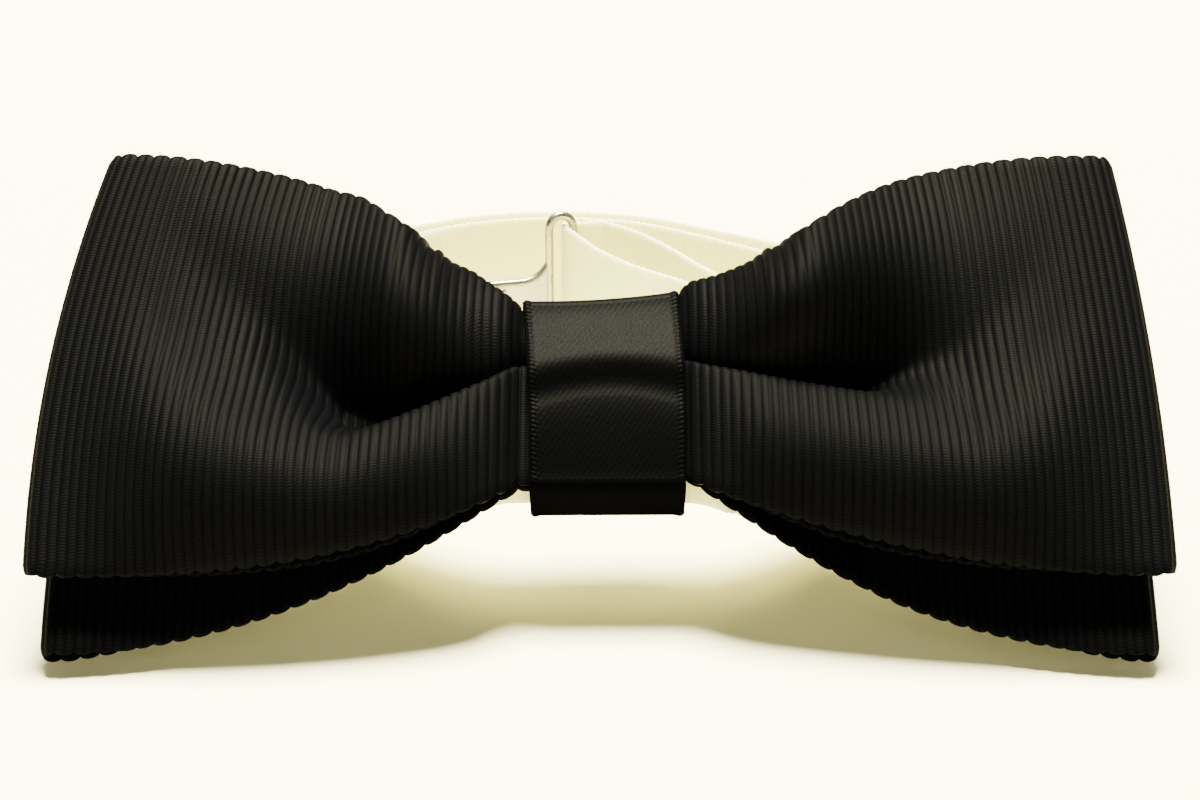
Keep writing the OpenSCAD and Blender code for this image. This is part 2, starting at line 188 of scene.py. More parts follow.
def cloth_object(name, middle, half, along, across, material, closed):
    """A ribbon as a thin solid: middle is its grid of centre points, half its half thickness at each of them."""
    rows, cols = middle.shape[:2]
    normal = surface_normals(middle, closed)
    half = np.broadcast_to(half, (rows, cols))[..., None]
    verts = np.concatenate([(middle + normal * half).reshape(-1, 3), (middle - normal * half).reshape(-1, 3)])
    steps = rows if closed else rows - 1
    i, j = np.meshgrid(np.arange(steps), np.arange(cols - 1), indexing="ij")
    k = (i + 1) % rows
    front = np.stack([i * cols + j, k * cols + j, k * cols + j + 1, i * cols + j + 1], -1).reshape(-1, 4)
    back = front[:, ::-1] + rows * cols
    step = along[1] - along[0]
    u0, u1 = along[i], along[i] + step
    v0, v1 = across[i, j], across[i, j + 1]
    uv = np.stack([np.stack([u0, v0], -1), np.stack([u1, v0], -1), np.stack([u1, v1], -1), np.stack([u0, v1], -1)], -2)
    uv = uv.reshape(-1, 4, 2)
    parts, uvs = [front, back], [uv, uv[:, ::-1]]
    n = rows * cols
    r = np.arange(steps)
    q = (r + 1) % rows
    for c, flip in ((0, False), (cols - 1, True)):
        edge = np.stack([r * cols + c, r * cols + c + n, q * cols + c + n, q * cols + c], -1)
        edge_uv = np.stack(
            [np.stack([along[r], across[r, c]], -1), np.stack([along[r], across[r, c] + 0.3], -1),
             np.stack([along[r] + step, across[r, c] + 0.3], -1), np.stack([along[r] + step, across[r, c]], -1)], -2)
        parts.append(edge[:, ::-1] if flip else edge)
        uvs.append(edge_uv[:, ::-1] if flip else edge_uv)
    if not closed:
        c = np.arange(cols - 1)
        for row, flip in ((0, True), (rows - 1, False)):
            end = np.stack([row * cols + c, row * cols + c + n, row * cols + c + 1 + n, row * cols + c + 1], -1)
            end_uv = np.stack(
                [np.stack([along[row] + 0 * c, across[row, c]], -1), np.stack([along[row] + 0.3 + 0 * c, across[row, c]], -1),
                 np.stack([along[row] + 0.3 + 0 * c, across[row, c + 1]], -1), np.stack([along[row] + 0 * c, across[row, c + 1]], -1)], -2)
            parts.append(end[:, ::-1] if flip else end)
            uvs.append(end_uv[:, ::-1] if flip else end_uv)
    return mesh_object(name, verts, np.concatenate(parts), np.concatenate(uvs), material)


def tube_parts(path, radius, sides, closed, squash=1.0):
    """Rings of a wire along path, with rounded closed ends where it is open."""
    path = np.asarray(path, float)
    rows = len(path)
    aim = unit(along_steps(path, closed))
    side = np.zeros_like(aim)
    seed = np.array([0.0, 0.0, 1.0]) if abs(aim[0][2]) < 0.9 else np.array([1.0, 0.0, 0.0])
    side[0] = unit(np.cross(aim[0], seed))
    for i in range(1, rows):
        v = side[i - 1] - aim[i] * np.dot(side[i - 1], aim[i])
        side[i] = unit(v)
    up = np.cross(aim, side)
    radius = np.broadcast_to(np.asarray(radius, float), (rows,))
    a = np.linspace(0, 2 * math.pi, sides, endpoint=False)
    ring = (np.cos(a)[None, :, None] * side[:, None] + np.sin(a)[None, :, None] * squash * up[:, None]) * radius[:, None, None]
    grid = path[:, None] + ring
    if not closed:
        caps = []
        for end, sign in ((0, -1), (rows - 1, 1)):
            rings = [path[end] + sign * aim[end] * radius[end] * math.sin(b) + ring[end] * math.cos(b) for b in (0.5, 1.0, 1.5)]
            caps.append(rings[::-1] if end == 0 else rings)
        grid = np.concatenate([np.array(caps[0]), grid, np.array(caps[1])])
        rows += 6
    i, j = np.meshgrid(np.arange(rows if closed else rows - 1), np.arange(sides), indexing="ij")
    k, m = (i + 1) % rows, (j + 1) % sides
    quads = np.stack([i * sides + j, k * sides + j, k * sides + m, i * sides + m], -1).reshape(-1, 4)
    u = np.stack([i, i + 1, i + 1, i], -1).reshape(-1, 4) * 0.3
    v = np.stack([j, j, j + 1, j + 1], -1).reshape(-1, 4) * 0.4
    return grid.reshape(-1, 3), quads, np.stack([u, v], -1)


def joined(name, pieces, material):
    """One mesh from several (points, faces, uvs) parts."""
    verts, quads, uvs, base = [], [], [], 0
    for v, q, t in pieces:
        verts.append(v)
        quads.append(q + base)
        uvs.append(t)
        base += len(v)
    return mesh_object(name, np.concatenate(verts), np.concatenate(quads), np.concatenate(uvs), material)


def smooth_curve(keys, steps, closed=False):
    """A curve through the key points."""
    keys = np.asarray(keys, float)
    if closed:
        p = np.concatenate([keys[-1:], keys, keys[:2]])
    else:
        p = np.concatenate([2 * keys[:1] - keys[1:2], keys, 2 * keys[-1:] - keys[-2:-1]])
    out = []
    for i in range(1, len(p) - 2):
        for t in np.arange(steps) / steps:
            a, b, c, d = p[i - 1 : i + 3]
            out.append(0.5 * (2 * b + (c - a) * t + (2 * a - 5 * b + 4 * c - d) * t * t + (3 * b - a - 3 * c + d) * t**3))
    if not closed:
        out.append(keys[-1])
    return np.array(out)


def even_steps(points, spacing, multiple=1):
    """The same curve with points a set distance apart; returns the points and their distances along it."""
    gaps = np.linalg.norm(np.diff(points[:, :3], axis=0), axis=1)
    run = np.concatenate([[0], np.cumsum(gaps)])
    count = max(multiple, int(round(run[-1] / spacing / multiple)) * multiple)
    at = np.linspace(0, run[-1], count + 1)
    return np.stack([np.interp(at, run, points[:, c]) for c in range(points.shape[1])], -1), at


# ---------------------------------------------------------------- materials


def node_group(name, inputs, outputs, build):
    """A shader node group that gives masks and colours to more than one material."""
    group = bpy.data.node_groups.get(name)
    if group:
        return group
    group = bpy.data.node_groups.new(name, "ShaderNodeTree")
    for label, kind, value in inputs:
        socket = group.interface.new_socket(label, in_out="INPUT", socket_type=kind)
        socket.default_value = value
    for label, kind in outputs:
        group.interface.new_socket(label, in_out="OUTPUT", socket_type=kind)
    build(group, group.nodes.new("NodeGroupInput"), group.nodes.new("NodeGroupOutput"))
    return group


def link(tree, a, b):
    tree.links.new(a, b)


def math_node(tree, operation, a, b=None, c=None):
    node = tree.nodes.new("ShaderNodeMath")
    node.operation = operation
    for slot, value in zip(node.inputs, (a, b, c)):
        if value is None:
            continue
        if isinstance(value, (int, float)):
            slot.default_value = value
        else:
            link(tree, value, slot)
    return node.outputs[0]


def noise(tree, vector, scale, detail=2.0, rough=0.5):
    node = tree.nodes.new("ShaderNodeTexNoise")
    node.inputs["Scale"].default_value = scale
    node.inputs["Detail"].default_value = detail
    node.inputs["Roughness"].default_value = rough
    link(tree, vector, node.inputs["Vector"])
    return node.outputs["Fac"]


def build_ribbon_weave(tree, given, result):
    """Fine threads that cross every rib, with grooves between ribs; the UVs are in millimetres."""
    uv = tree.nodes.new("ShaderNodeUVMap")
    uv.uv_map = "Weave"
    split = tree.nodes.new("ShaderNodeSeparateXYZ")
    link(tree, uv.outputs["UV"], split.inputs[0])
    along, across = split.outputs[0], split.outputs[1]
    rib = math_node(tree, "FRACT", math_node(tree, "DIVIDE", along, given.outputs["Rib pitch"]))
    rib_round = math_node(tree, "SINE", math_node(tree, "MULTIPLY", rib, math.pi))
    parity = math_node(tree, "MODULO", math_node(tree, "FLOOR", math_node(tree, "DIVIDE", along, given.outputs["Rib pitch"])), 2.0)
    thread_at = math_node(tree, "ADD", math_node(tree, "DIVIDE", across, given.outputs["Thread pitch"]), math_node(tree, "MULTIPLY", parity, 0.5))
    thread = math_node(tree, "ABSOLUTE", math_node(tree, "SINE", math_node(tree, "MULTIPLY", thread_at, math.pi)))
    place = tree.nodes.new("ShaderNodeCombineXYZ")
    link(tree, along, place.inputs[0])
    link(tree, across, place.inputs[1])
    fuzz = noise(tree, place.outputs[0], 5.0, 3.0)
    height = math_node(tree, "ADD", math_node(tree, "MULTIPLY", thread, 0.55), math_node(tree, "MULTIPLY", fuzz, 0.6))
    height = math_node(tree, "ADD", height, math_node(tree, "MULTIPLY", rib_round, 0.35))
    link(tree, height, result.inputs["Height"])
    # The Rib mask is painted shade: it darkens the colour in the grooves between ribs and between the fine threads.
    flat_top = math_node(tree, "POWER", rib_round, 0.4)
    strand = between(tree, math_node(tree, "POWER", thread, 0.5), 0.25, 1.0)
    link(tree, math_node(tree, "MULTIPLY", flat_top, strand), result.inputs["Rib"])
    patch = noise(tree, place.outputs[0], 0.12, 2.0)
    streak_at = tree.nodes.new("ShaderNodeCombineXYZ")
    link(tree, math_node(tree, "MULTIPLY", along, 1.0), streak_at.inputs[0])
    link(tree, math_node(tree, "MULTIPLY", across, 0.06), streak_at.inputs[1])
    streak = noise(tree, streak_at.outputs[0], 0.9, 2.0)
    wear = math_node(tree, "ADD", math_node(tree, "MULTIPLY", patch, 0.5), math_node(tree, "MULTIPLY", streak, 0.5))
    link(tree, wear, result.inputs["Variation"])


def build_satin_weave(tree, given, result):
    """Long floats at a slight slant with fine diagonal steps, and a mask of the band's underside."""
    uv = tree.nodes.new("ShaderNodeUVMap")
    uv.uv_map = "Weave"
    split = tree.nodes.new("ShaderNodeSeparateXYZ")
    link(tree, uv.outputs["UV"], split.inputs[0])
    along, across = split.outputs[0], split.outputs[1]
    slant = math_node(tree, "ADD", math_node(tree, "MULTIPLY", along, 3.1), math_node(tree, "MULTIPLY", across, 5.2))
    twill = math_node(tree, "SINE", math_node(tree, "MULTIPLY", slant, 2.0))
    place = tree.nodes.new("ShaderNodeCombineXYZ")
    link(tree, math_node(tree, "MULTIPLY", along, 1.1), place.inputs[0])
    link(tree, math_node(tree, "MULTIPLY", across, 4.0), place.inputs[1])
    floats = noise(tree, place.outputs[0], 2.2, 3.0)
    height = math_node(tree, "ADD", math_node(tree, "MULTIPLY", twill, 0.14), math_node(tree, "MULTIPLY", floats, 0.9))
    link(tree, height, result.inputs["Height"])
    link(tree, floats, result.inputs["Variation"])
    # Underside marks the band's strip underneath, which the satin material paints darker as painted shade.
    link(tree, math_node(tree, "LESS_THAN", along, 8.6), result.inputs["Underside"])


def weave_group():
    return node_group(
        "Ribbon weave",
        [("Rib pitch", "NodeSocketFloat", 1.0), ("Thread pitch", "NodeSocketFloat", 0.24)],
        [("Height", "NodeSocketFloat"), ("Rib", "NodeSocketFloat"), ("Variation", "NodeSocketFloat")],
        build_ribbon_weave,
    )


def satin_group():
    return node_group(
        "Satin weave", [], [("Height", "NodeSocketFloat"), ("Variation", "NodeSocketFloat"), ("Underside", "NodeSocketFloat")], build_satin_weave
    )


def new_material(name):
    material = bpy.data.materials.get(name)
    if material:
        return material, None, None
    material = bpy.data.materials.new(name)
    material.use_nodes = True
    tree = material.node_tree
    tree.nodes.clear()
    shader = tree.nodes.new("ShaderNodeBsdfPrincipled")
    link(tree, shader.outputs[0], tree.nodes.new("ShaderNodeOutputMaterial").inputs[0])
    return material, tree, shader


def shades(tree, mask, dark, light):
    ramp = tree.nodes.new("ShaderNodeMix")
    ramp.data_type = "RGBA"
    link(tree, mask, ramp.inputs["Factor"])
    ramp.inputs["A"].default_value = (*dark, 1)
    ramp.inputs["B"].default_value = (*light, 1)
    return ramp.outputs["Result"]


def bump(tree, shader, height, strength, distance):
    node = tree.nodes.new("ShaderNodeBump")
    node.inputs["Strength"].default_value = strength
    node.inputs["Distance"].default_value = distance * MM
    link(tree, height, node.inputs["Height"])
    link(tree, node.outputs[0], shader.inputs["Normal"])


def between(tree, mask, low, high):
    node = tree.nodes.new("ShaderNodeMapRange")
    node.inputs["To Min"].default_value = low
    node.inputs["To Max"].default_value = high
    link(tree, mask, node.inputs["Value"])
    return node.outputs[0]


def scaled(color, k):
    return tuple(min(1.0, c * k) for c in color)


def grosgrain(name, color, rib_pitch, thread_pitch, rough, sheen, contrast, specular, groove_shade, glow_through):
    material, tree, shader = new_material(name)
    if tree is None:
        return material
    weave = tree.nodes.new("ShaderNodeGroup")
    weave.node_tree = weave_group()
    weave.inputs["Rib pitch"].default_value = rib_pitch
    weave.inputs["Thread pitch"].default_value = thread_pitch
    tone = shades(tree, weave.outputs["Variation"], scaled(color, 1 - contrast), scaled(color, 1 + contrast))
    # Painted shade: the colour is multiplied darker in the grooves between ribs and between threads.
    groove_shading = tree.nodes.new("ShaderNodeMix")
    groove_shading.data_type = "RGBA"
    groove_shading.blend_type = "MULTIPLY"
    groove_shading.inputs["Factor"].default_value = 1.0
    link(tree, tone, groove_shading.inputs["A"])
    link(tree, shades(tree, weave.outputs["Rib"], (groove_shade,) * 3, (1, 1, 1)), groove_shading.inputs["B"])
    link(tree, groove_shading.outputs["Result"], shader.inputs["Base Color"])
    link(tree, between(tree, weave.outputs["Variation"], rough - 0.08, rough + 0.08), shader.inputs["Roughness"])
    shader.inputs["Specular IOR Level"].default_value = specular
    shader.inputs["Sheen Weight"].default_value = sheen
    shader.inputs["Sheen Roughness"].default_value = 0.45
    shader.inputs["Subsurface Weight"].default_value = glow_through
    shader.inputs["Subsurface Radius"].default_value = (1.0, 0.9, 0.7)
    shader.inputs["Subsurface Scale"].default_value = 2.5 * MM
    bump(tree, shader, weave.outputs["Height"], 0.5, 0.06)
    return material


def black_ribbon_material():
    s = bpy.context.scene.bow_tie_ribbon
    return grosgrain("Black grosgrain", tuple(s.color), 1.0, 0.33, 0.5, 0.001, 0.2, 0.008, 0.1, 0.0)


def strap_material():
    s = bpy.context.scene.bow_tie_strap
    return grosgrain("Cream grosgrain", tuple(s.color), 1.0, 0.25, 0.7, 0.05, 0.03, 0.3, 0.88, 0.9)


def satin_material():
    material, tree, shader = new_material("Black satin")
    if tree is None:
        return material
    s = bpy.context.scene.bow_tie_knot
    weave = tree.nodes.new("ShaderNodeGroup")
    weave.node_tree = satin_group()
    # Base colour: random tone of the floats, painted darker on the band's underside as painted shade.
    floats = math_node(tree, "MULTIPLY", weave.outputs["Variation"], between(tree, weave.outputs["Underside"], 1.0, 0.4))
    link(tree, shades(tree, floats, scaled(s.color, 0.4), scaled(s.color, 1.6)), shader.inputs["Base Color"])
    gloss = between(tree, weave.outputs["Variation"], 0.3, 0.56)
    link(tree, math_node(tree, "MAXIMUM", gloss, between(tree, weave.outputs["Underside"], 0.0, 0.95)), shader.inputs["Roughness"])
    shader.inputs["Specular IOR Level"].default_value = 0.009
    shader.inputs["Specular Tint"].default_value = (0.8, 0.84, 1.0, 1)
    shader.inputs["Sheen Weight"].default_value = 0.001
    bump(tree, shader, weave.outputs["Height"], 0.7, 0.05)
    return material


def thread_material(name, color):
    material, tree, shader = new_material(name)
    if tree is None:
        return material
    uv = tree.nodes.new("ShaderNodeUVMap")
    uv.uv_map = "Weave"
    split = tree.nodes.new("ShaderNodeSeparateXYZ")
    link(tree, uv.outputs["UV"], split.inputs[0])
    twist = math_node(tree, "SINE", math_node(tree, "MULTIPLY", math_node(tree, "ADD", split.outputs[0], split.outputs[1]), 7.0))
    mask = between(tree, twist, 0.0, 1.0)
    link(tree, shades(tree, mask, scaled(color, 0.7), scaled(color, 1.15)), shader.inputs["Base Color"])
    link(tree, between(tree, twist, 0.5, 0.7), shader.inputs["Roughness"])
    shader.inputs["Specular IOR Level"].default_value = 0.02 if color[0] < 0.1 else 0.3
    bump(tree, shader, twist, 0.5, 0.04)
    return material


def metal_material():
    material, tree, shader = new_material("Worn nickel plate")
    if tree is None:
        return material
    color = tuple(bpy.context.scene.bow_tie_metal.color)
    place = tree.nodes.new("ShaderNodeTexCoord").outputs["Object"]
    cloud = noise(tree, place, 900.0, 4.0)
    grain = noise(tree, place, 5200.0, 2.0)
    rubbed = math_node(tree, "ADD", math_node(tree, "MULTIPLY", cloud, 0.6), math_node(tree, "MULTIPLY", grain, 0.4))
    link(tree, shades(tree, rubbed, scaled(color, 0.72), scaled(color, 1.15)), shader.inputs["Base Color"])
    link(tree, between(tree, rubbed, 0.16, 0.42), shader.inputs["Roughness"])
    shader.inputs["Metallic"].default_value = 1.0
    bump(tree, shader, grain, 0.15, 0.03)
    return material


def floor_material():
    material, tree, shader = new_material("White table")
    if tree is None:
        return material
    color = tuple(bpy.context.scene.bow_tie_stage.floor_color)
    place = tree.nodes.new("ShaderNodeTexCoord").outputs["Object"]
    grain = noise(tree, place, 40.0, 3.0)
    link(tree, shades(tree, grain, scaled(color, 0.985), scaled(color, 1.015)), shader.inputs["Base Color"])
    shader.inputs["Roughness"].default_value = 0.9
    shader.inputs["Specular IOR Level"].default_value = 0.1
    return material


# ---------------------------------------------------------------- bow loops

KNOT_EDGE = 8.2
FOLD_R = 1.3
RIB_STEPS = 5
WING_RIBS = 48
KNOT_RIBS = 16
FOLD_RIBS = 4
EDGE_ROWS = (0.0, 0.3, 0.8, 1.5)
INNER_ROWS = 34
VIEW_SLOPE = 0.587


def bottom_line(side, t):
    """Lower edge of the front loop, from the knot (t = 0) to the wing's end."""
    if side < 0:
        return 1.0 + 9.6 * (1 - t) ** 2.8
    return 1.2 + 10.2 * (1 - t) ** 2.0


def top_line(side, t):
    """Highest line of the front loop's front panel."""
    start, end, steep, early, dip, dip_reach = (32.2, 49.8, 1.38, 1.3, 1.5, 0.03) if side < 0 else (34.05, 49.6, 1.84, 1.28, 2.3, 0.013)
    t = np.clip(t, 1e-4, 1 - 1e-4)
    line = start + (end - start) / (1 + math.exp(-early) * ((1 - t) / t) ** steep) - dip * np.exp(-t / dip_reach)
    if side < 0:
        line += 0.5 * np.exp(-(((t - 0.4) / 0.05) ** 2)) - 0.9 * np.exp(-(((t - 0.195) / 0.06) ** 2))
    return line


def ridge_line(side, t):
    """The crest of the pleat's lower side: it falls away from the knot, then climbs and fades towards the wing's end."""
    if side < 0:
        fall, climb = 23.2 - 26.0 * t, 13.2 + 33.0 * np.maximum(0, t - 0.36)
        soft = 5.0
    else:
        fall, climb = 24.2 - 11.0 * t, 19.0 + 36.0 * np.maximum(0, t - 0.62)
        soft = 2.4
    return 0.5 * (fall + climb + np.sqrt((fall - climb) ** 2 + soft**2))


def half_width(span, side, s):
    bow, middle = (3.4, 0.42) if side > 0 else (6.9, 0.3)
    return span / 2 + 0.1 - bow * (s - middle) ** 2


def evened(column):
    """A column of values smoothed along the wing."""
    for _ in range(3):
        column = np.convolve(np.pad(column[:, 0], 6, mode="edge"), np.ones(13) / 13, mode="valid")[:, None]
    return column


def front_section(side, t, width, pleat):
    """Heights and depths across the front panel at stations t: the ribbon's own width laid along folded curves."""
    t = np.asarray(t, float)
    sigma = np.linspace(0, width, 401)
    hold = 0.52 if side < 0 else 0.6
    strength = pleat * (0.8 * (1 - ease((t - 0.1) / hold)) + 0.2 * (1 - ease((t - 0.3) / 0.6)))
    belly = np.sin(math.pi * clip(t)) ** 0.8
    roll = 1 - ease((t - 0.06) / 0.26)
    low, ridge, high = bottom_line(side, t), ridge_line(side, t), top_line(side, t)
    one = (ridge - low) * 1.08 + 0.5
    gap = mix(6.5, 8.5, ease(t)) if side < 0 else mix(5.6, 7.5, ease(t))
    soft = mix(1.2, 3.4, ease(t / 0.85))
    open_soft = mix(2.4, 4.6, ease(t / 0.7)) if side < 0 else mix(1.2, 3.8, ease(t / 0.9))
    two = one + gap
    after = 70 if side < 0 else 86
    top_fold = mix(width, np.minimum(width - 3.0, two + 16.0), roll)
    bends = np.stack([0 * t, one - soft, one + soft * 0.8, two - soft * 0.6, two + open_soft, top_fold - 2.4, top_fold + 2.0, 62 + 0 * t], -1)
    first = 12 + 26 * belly
    before = -4 - 18 * belly
    end_fade = 1 - ease((t - 0.62) / 0.38)
    angles = np.stack(
        [first * mix(0.25, 1, end_fade), before * end_fade, -100 * strength - 4 * belly * end_fade, -98 * strength - 4 * belly * end_fade,
         after * strength, -30 * roll - 12 * belly * end_fade, -185 * roll - 14 * belly * end_fade, -185 * roll - 14 * belly * end_fade], -1)
    heights, depths, samples, marks, mark_outs = [], [], [], [], []
    step = sigma[1] - sigma[0]
    for k in range(len(t)):
        at = np.maximum.accumulate(bends[k] + np.arange(8) * 1e-4)
        seg = np.clip(np.searchsorted(at, sigma, side="right") - 1, 0, 6)
        local = clip((sigma - at[seg]) / (at[seg + 1] - at[seg]))
        theta = np.radians(mix(angles[k][seg], angles[k][seg + 1], ease(local)))
        up = np.concatenate([[0], np.cumsum((np.cos(theta[1:]) + np.cos(theta[:-1])) / 2) * step])
        out = np.concatenate([[0], np.cumsum((np.sin(theta[1:]) + np.sin(theta[:-1])) / 2) * step])
        density = 1 + 5.0 * np.abs(np.gradient(theta, sigma))
        inside = (sigma > EDGE_ROWS[-1]) & (sigma < width - EDGE_ROWS[-1])
        pace = np.concatenate([[0], np.cumsum(np.where(inside, density, 0)[1:])])
        where = np.interp(np.linspace(0, pace[-1], INNER_ROWS + 2)[1:-1], pace + 1e-9 * sigma, sigma)
        rows = np.concatenate([EDGE_ROWS, where, width - np.array(EDGE_ROWS[::-1])])
        heights.append(np.interp(rows, sigma, up))
        depths.append(np.interp(rows, sigma, out))
        samples.append(rows)
        marks.append(np.interp(one[k], sigma, up))
        mark_outs.append(np.interp(one[k], sigma, out))
    heights, depths, samples = np.array(heights), np.array(depths), np.array(samples)
    squeeze = mix(0.3, 1.0, ease(t / 0.2))[:, None]
    base = (-3.6 + 2.7 * (1 - np.exp(-t / 0.05)) + 0.65 * t)[:, None]
    depths = np.maximum(base + depths * squeeze, -6.2)
    mark_depth = base + np.array(mark_outs)[:, None] * squeeze
    fading = ease((t[:, None] - 0.25) / 0.2)
    mark = np.array(marks)[:, None]
    peak = heights.max(axis=1, keepdims=True)
    low_u = low[:, None] - VIEW_SLOPE * depths[:, :1]
    mid_u, top_u = ridge[:, None] + 0.0, high[:, None] + 0.0
    before_valley = samples < two[:, None]
    for _ in range(8):
        below = low_u + heights / mark * (mid_u - low_u)
        above = mid_u + (heights - mark) / np.maximum(peak - mark, 1e-3) * (top_u - mid_u)
        u = np.where(heights < mark, below, above)
        seen = u + VIEW_SLOPE * depths
        crest = mix(np.where(before_valley, seen, -99).max(axis=1, keepdims=True), mid_u + VIEW_SLOPE * mark_depth, fading)
        crown = np.where(before_valley, -99, seen).max(axis=1, keepdims=True)
        mid_u = mid_u + 0.8 * evened(ridge[:, None] - crest) * (1 - ease((t[:, None] - 0.65) / 0.2))
        top_u = top_u + 0.8 * evened(high[:, None] - crown)
    free = ease((t[:, None] - 0.6) / 0.3)
    plain = low_u + heights / peak * (top_u - low_u)
    return mix(u, plain, free), depths, samples


def plain_section(low, high, depth, t, rows_at):
    """Heights and depths of a hidden or rear panel."""
    s = rows_at
    return low[:, None] + (high - low)[:, None] * s, depth(t[:, None], s)


def deepest_below(under_h, under_w, at):
    """The deepest point of the panel in front at each height, held level past its edges."""
    grid = np.linspace(-8, 56, 129)
    floor = np.full(len(grid), np.nan)
    cell = np.clip(np.round((under_h + 8) * 2).astype(int), 0, 128)
    for c, w in zip(cell, under_w):
        for k in (c - 1, c, c + 1):
            if 0 <= k <= 128 and not floor[k] < w:
                floor[k] = w
    known = ~np.isnan(floor)
    floor = np.interp(grid, grid[known], floor[known])
    soft = np.convolve(np.pad(floor, 4, mode="edge"), np.ones(9) / 9, mode="valid")
    return np.interp(at, grid, np.minimum(floor, soft))


def behind(heights, depths, under_h, under_w, gap):
    """Pushes a panel back until it clears the one in front of it."""
    out = depths.copy()
    for k in range(len(heights)):
        out[k] = np.minimum(out[k], deepest_below(under_h[k], under_w[k], heights[k]) - gap[k])
    pad = np.pad(out, ((3, 3), (0, 0)), mode="edge")
    lowest = np.min([pad[i : i + len(out)] for i in range(7)], axis=0)
    pad = np.pad(lowest, ((3, 3), (0, 0)), mode="edge")
    return np.mean([pad[i : i + len(out)] for i in range(7)], axis=0)


def wing_panels(side, settings):
    """The four panels of one wing, knot to end: lists of (points x, heights, depths, across) grids."""
    t = np.linspace(0, 1, WING_RIBS * RIB_STEPS + 1)
    width = settings.width
    h0, w0, across0 = front_section(side, t, width, settings.pleat)
    s = np.concatenate([np.array(EDGE_ROWS) / width, np.linspace(EDGE_ROWS[-1] / width, 1 - EDGE_ROWS[-1] / width, INNER_ROWS + 2)[1:-1], 1 - np.array(EDGE_ROWS[::-1]) / width])
    rows = np.broadcast_to(s, (len(t), len(s)))
    hump = np.sin(math.pi * t) ** 1.2
    low, high = bottom_line(side, t), top_line(side, t)
    open_h = 20.4 + (0.98 * width - 20.4) * np.sin(0.5 * math.pi * t) ** 0.9
    rear_depth = mix(-6.01, -4.05, ease(t)) - 1.2 * hump
    rear_low = -5.2 + 17.4 * (1 - t) ** 2 - VIEW_SLOPE * (rear_depth + 3.8)
    if side > 0:
        rear_low = rear_low + 1.5 * (1 - ease(t / 0.55))
    rear_high = np.minimum(rear_low + open_h, high - 0.5)

    def depth(at_knot, at_end, sag, power, waves, size):
        def at(t, s):
            ripple = size * np.cos(2 * math.pi * (waves * s + 0.15)) * ease(t / 0.15) * (1 - ease((t - 0.1) / 0.75))
            return mix(at_knot, at_end, ease(t)) - sag * np.sin(math.pi * t) ** power + ripple

        return at

    h1, w1 = plain_section(low + 1.9 + 1.2 * (1 - ease(t / 0.4)), high - 0.4, depth(-4.93, -2.85, 1.2, 1.2, 2, 0.5), t, rows)
    h2, w2 = plain_section(rear_low, rear_high, depth(-6.01, -4.05, 1.2, 1.2, 2, 0.5), t, rows)
    h3, w3 = plain_section(rear_low + 0.4 + 1.9 * hump, rear_high, depth(-7.09, -6.65, 1.9, 2, 2.5, 0.8), t, rows)
    gap = mix(0.62, 1.0, ease(t / 0.2))
    w1 = behind(h1, w1, h0, w0, gap)
    w2 = behind(h2, w2, h1, w1, gap)
    w3 = behind(h3, w3, h2, w2, gap)
    grids = []
    for k, (h, w, across) in enumerate(((h0, w0, across0), (h1, w1, rows * width), (h2, w2, rows * width), (h3, w3, rows * width))):
        span = settings.front_span if k < 2 else settings.rear_span
        end = half_width(span, side, across / width) - FOLD_R - 0.25
        x = side * (KNOT_EDGE + (end - KNOT_EDGE) * t[:, None])
        grids.append((x, h, w, across))
    return grids


def loop_grid(front_left, front_right, back_left, back_right):
    """Joins the panels of one loop into a closed ring: front left to right, fold, back right to left, fold."""

    def points(panel):
        return np.stack([panel[0], panel[1], panel[2], panel[3]], -1)

    def through_knot(a, b, steps):
        f = np.linspace(0, 1, steps + 1)[1:-1][:, None, None]
        return mix(a[None], b[None], f)

    def fold(a, b, side, steps):
        angle = (np.arange(1, steps) / steps * math.pi)[:, None]
        centre = (a[:, 2] + b[:, 2]) / 2
        reach = (a[:, 2] - b[:, 2]) / 2
        f = angle / math.pi
        x = mix(a[:, 0], b[:, 0], f) + side * FOLD_R * np.sin(angle)
        w = centre + reach * np.cos(angle)
        return np.stack([x, mix(a[:, 1], b[:, 1], f), w, mix(a[:, 3], b[:, 3], f)], -1)

    fl, fr, bl, br = points(front_left), points(front_right), points(back_left), points(back_right)
    knot, turn = KNOT_RIBS * RIB_STEPS, FOLD_RIBS * RIB_STEPS
    ring = [
        fl[::-1], through_knot(fl[0], fr[0], knot), fr,
        fold(fr[-1], br[-1], 1, turn),
        br[::-1], through_knot(br[0], bl[0], knot), bl,
        fold(bl[-1], fl[-1], -1, turn),
    ]
    return np.concatenate(ring)


def rib_profile(count):
    phase = (np.arange(count) % RIB_STEPS) / RIB_STEPS
    return np.sin(math.pi * phase) ** 0.35


def scalloped(grid, across, width, count):
    """Pushes the two edges out in rounded steps two ribs long."""
    bump_at = np.abs(np.sin(math.pi * np.arange(count) / (2 * RIB_STEPS))) ** 0.7
    reach = EDGE_ROWS[-1] + 0.1
    low = clip(1 - across / reach)
    high = clip(1 - (width - across) / reach)
    outward = unit(np.gradient(grid, axis=1))
    return grid + outward * ((high - low) * bump_at[:, None] * 0.32)[..., None]


def bow_loop(name, node, ring, settings, material):
    across = ring[..., 3]
    grid = from_bow(ring[..., 0], ring[..., 1], ring[..., 2])
    count = len(grid)
    grid = scalloped(grid, across, settings.width, count)
    edge = np.minimum(across, settings.width - across)
    rounding = np.sqrt(clip(0.12 + edge / 0.9))
    half = (settings.thickness / 2 + settings.rib_height * rib_profile(count)[:, None]) * rounding
    along = np.arange(count) / RIB_STEPS
    thing = cloth_object(name, grid, half, along, across, material, closed=True)
    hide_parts(node)
    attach(thing, "bow")
    return thing


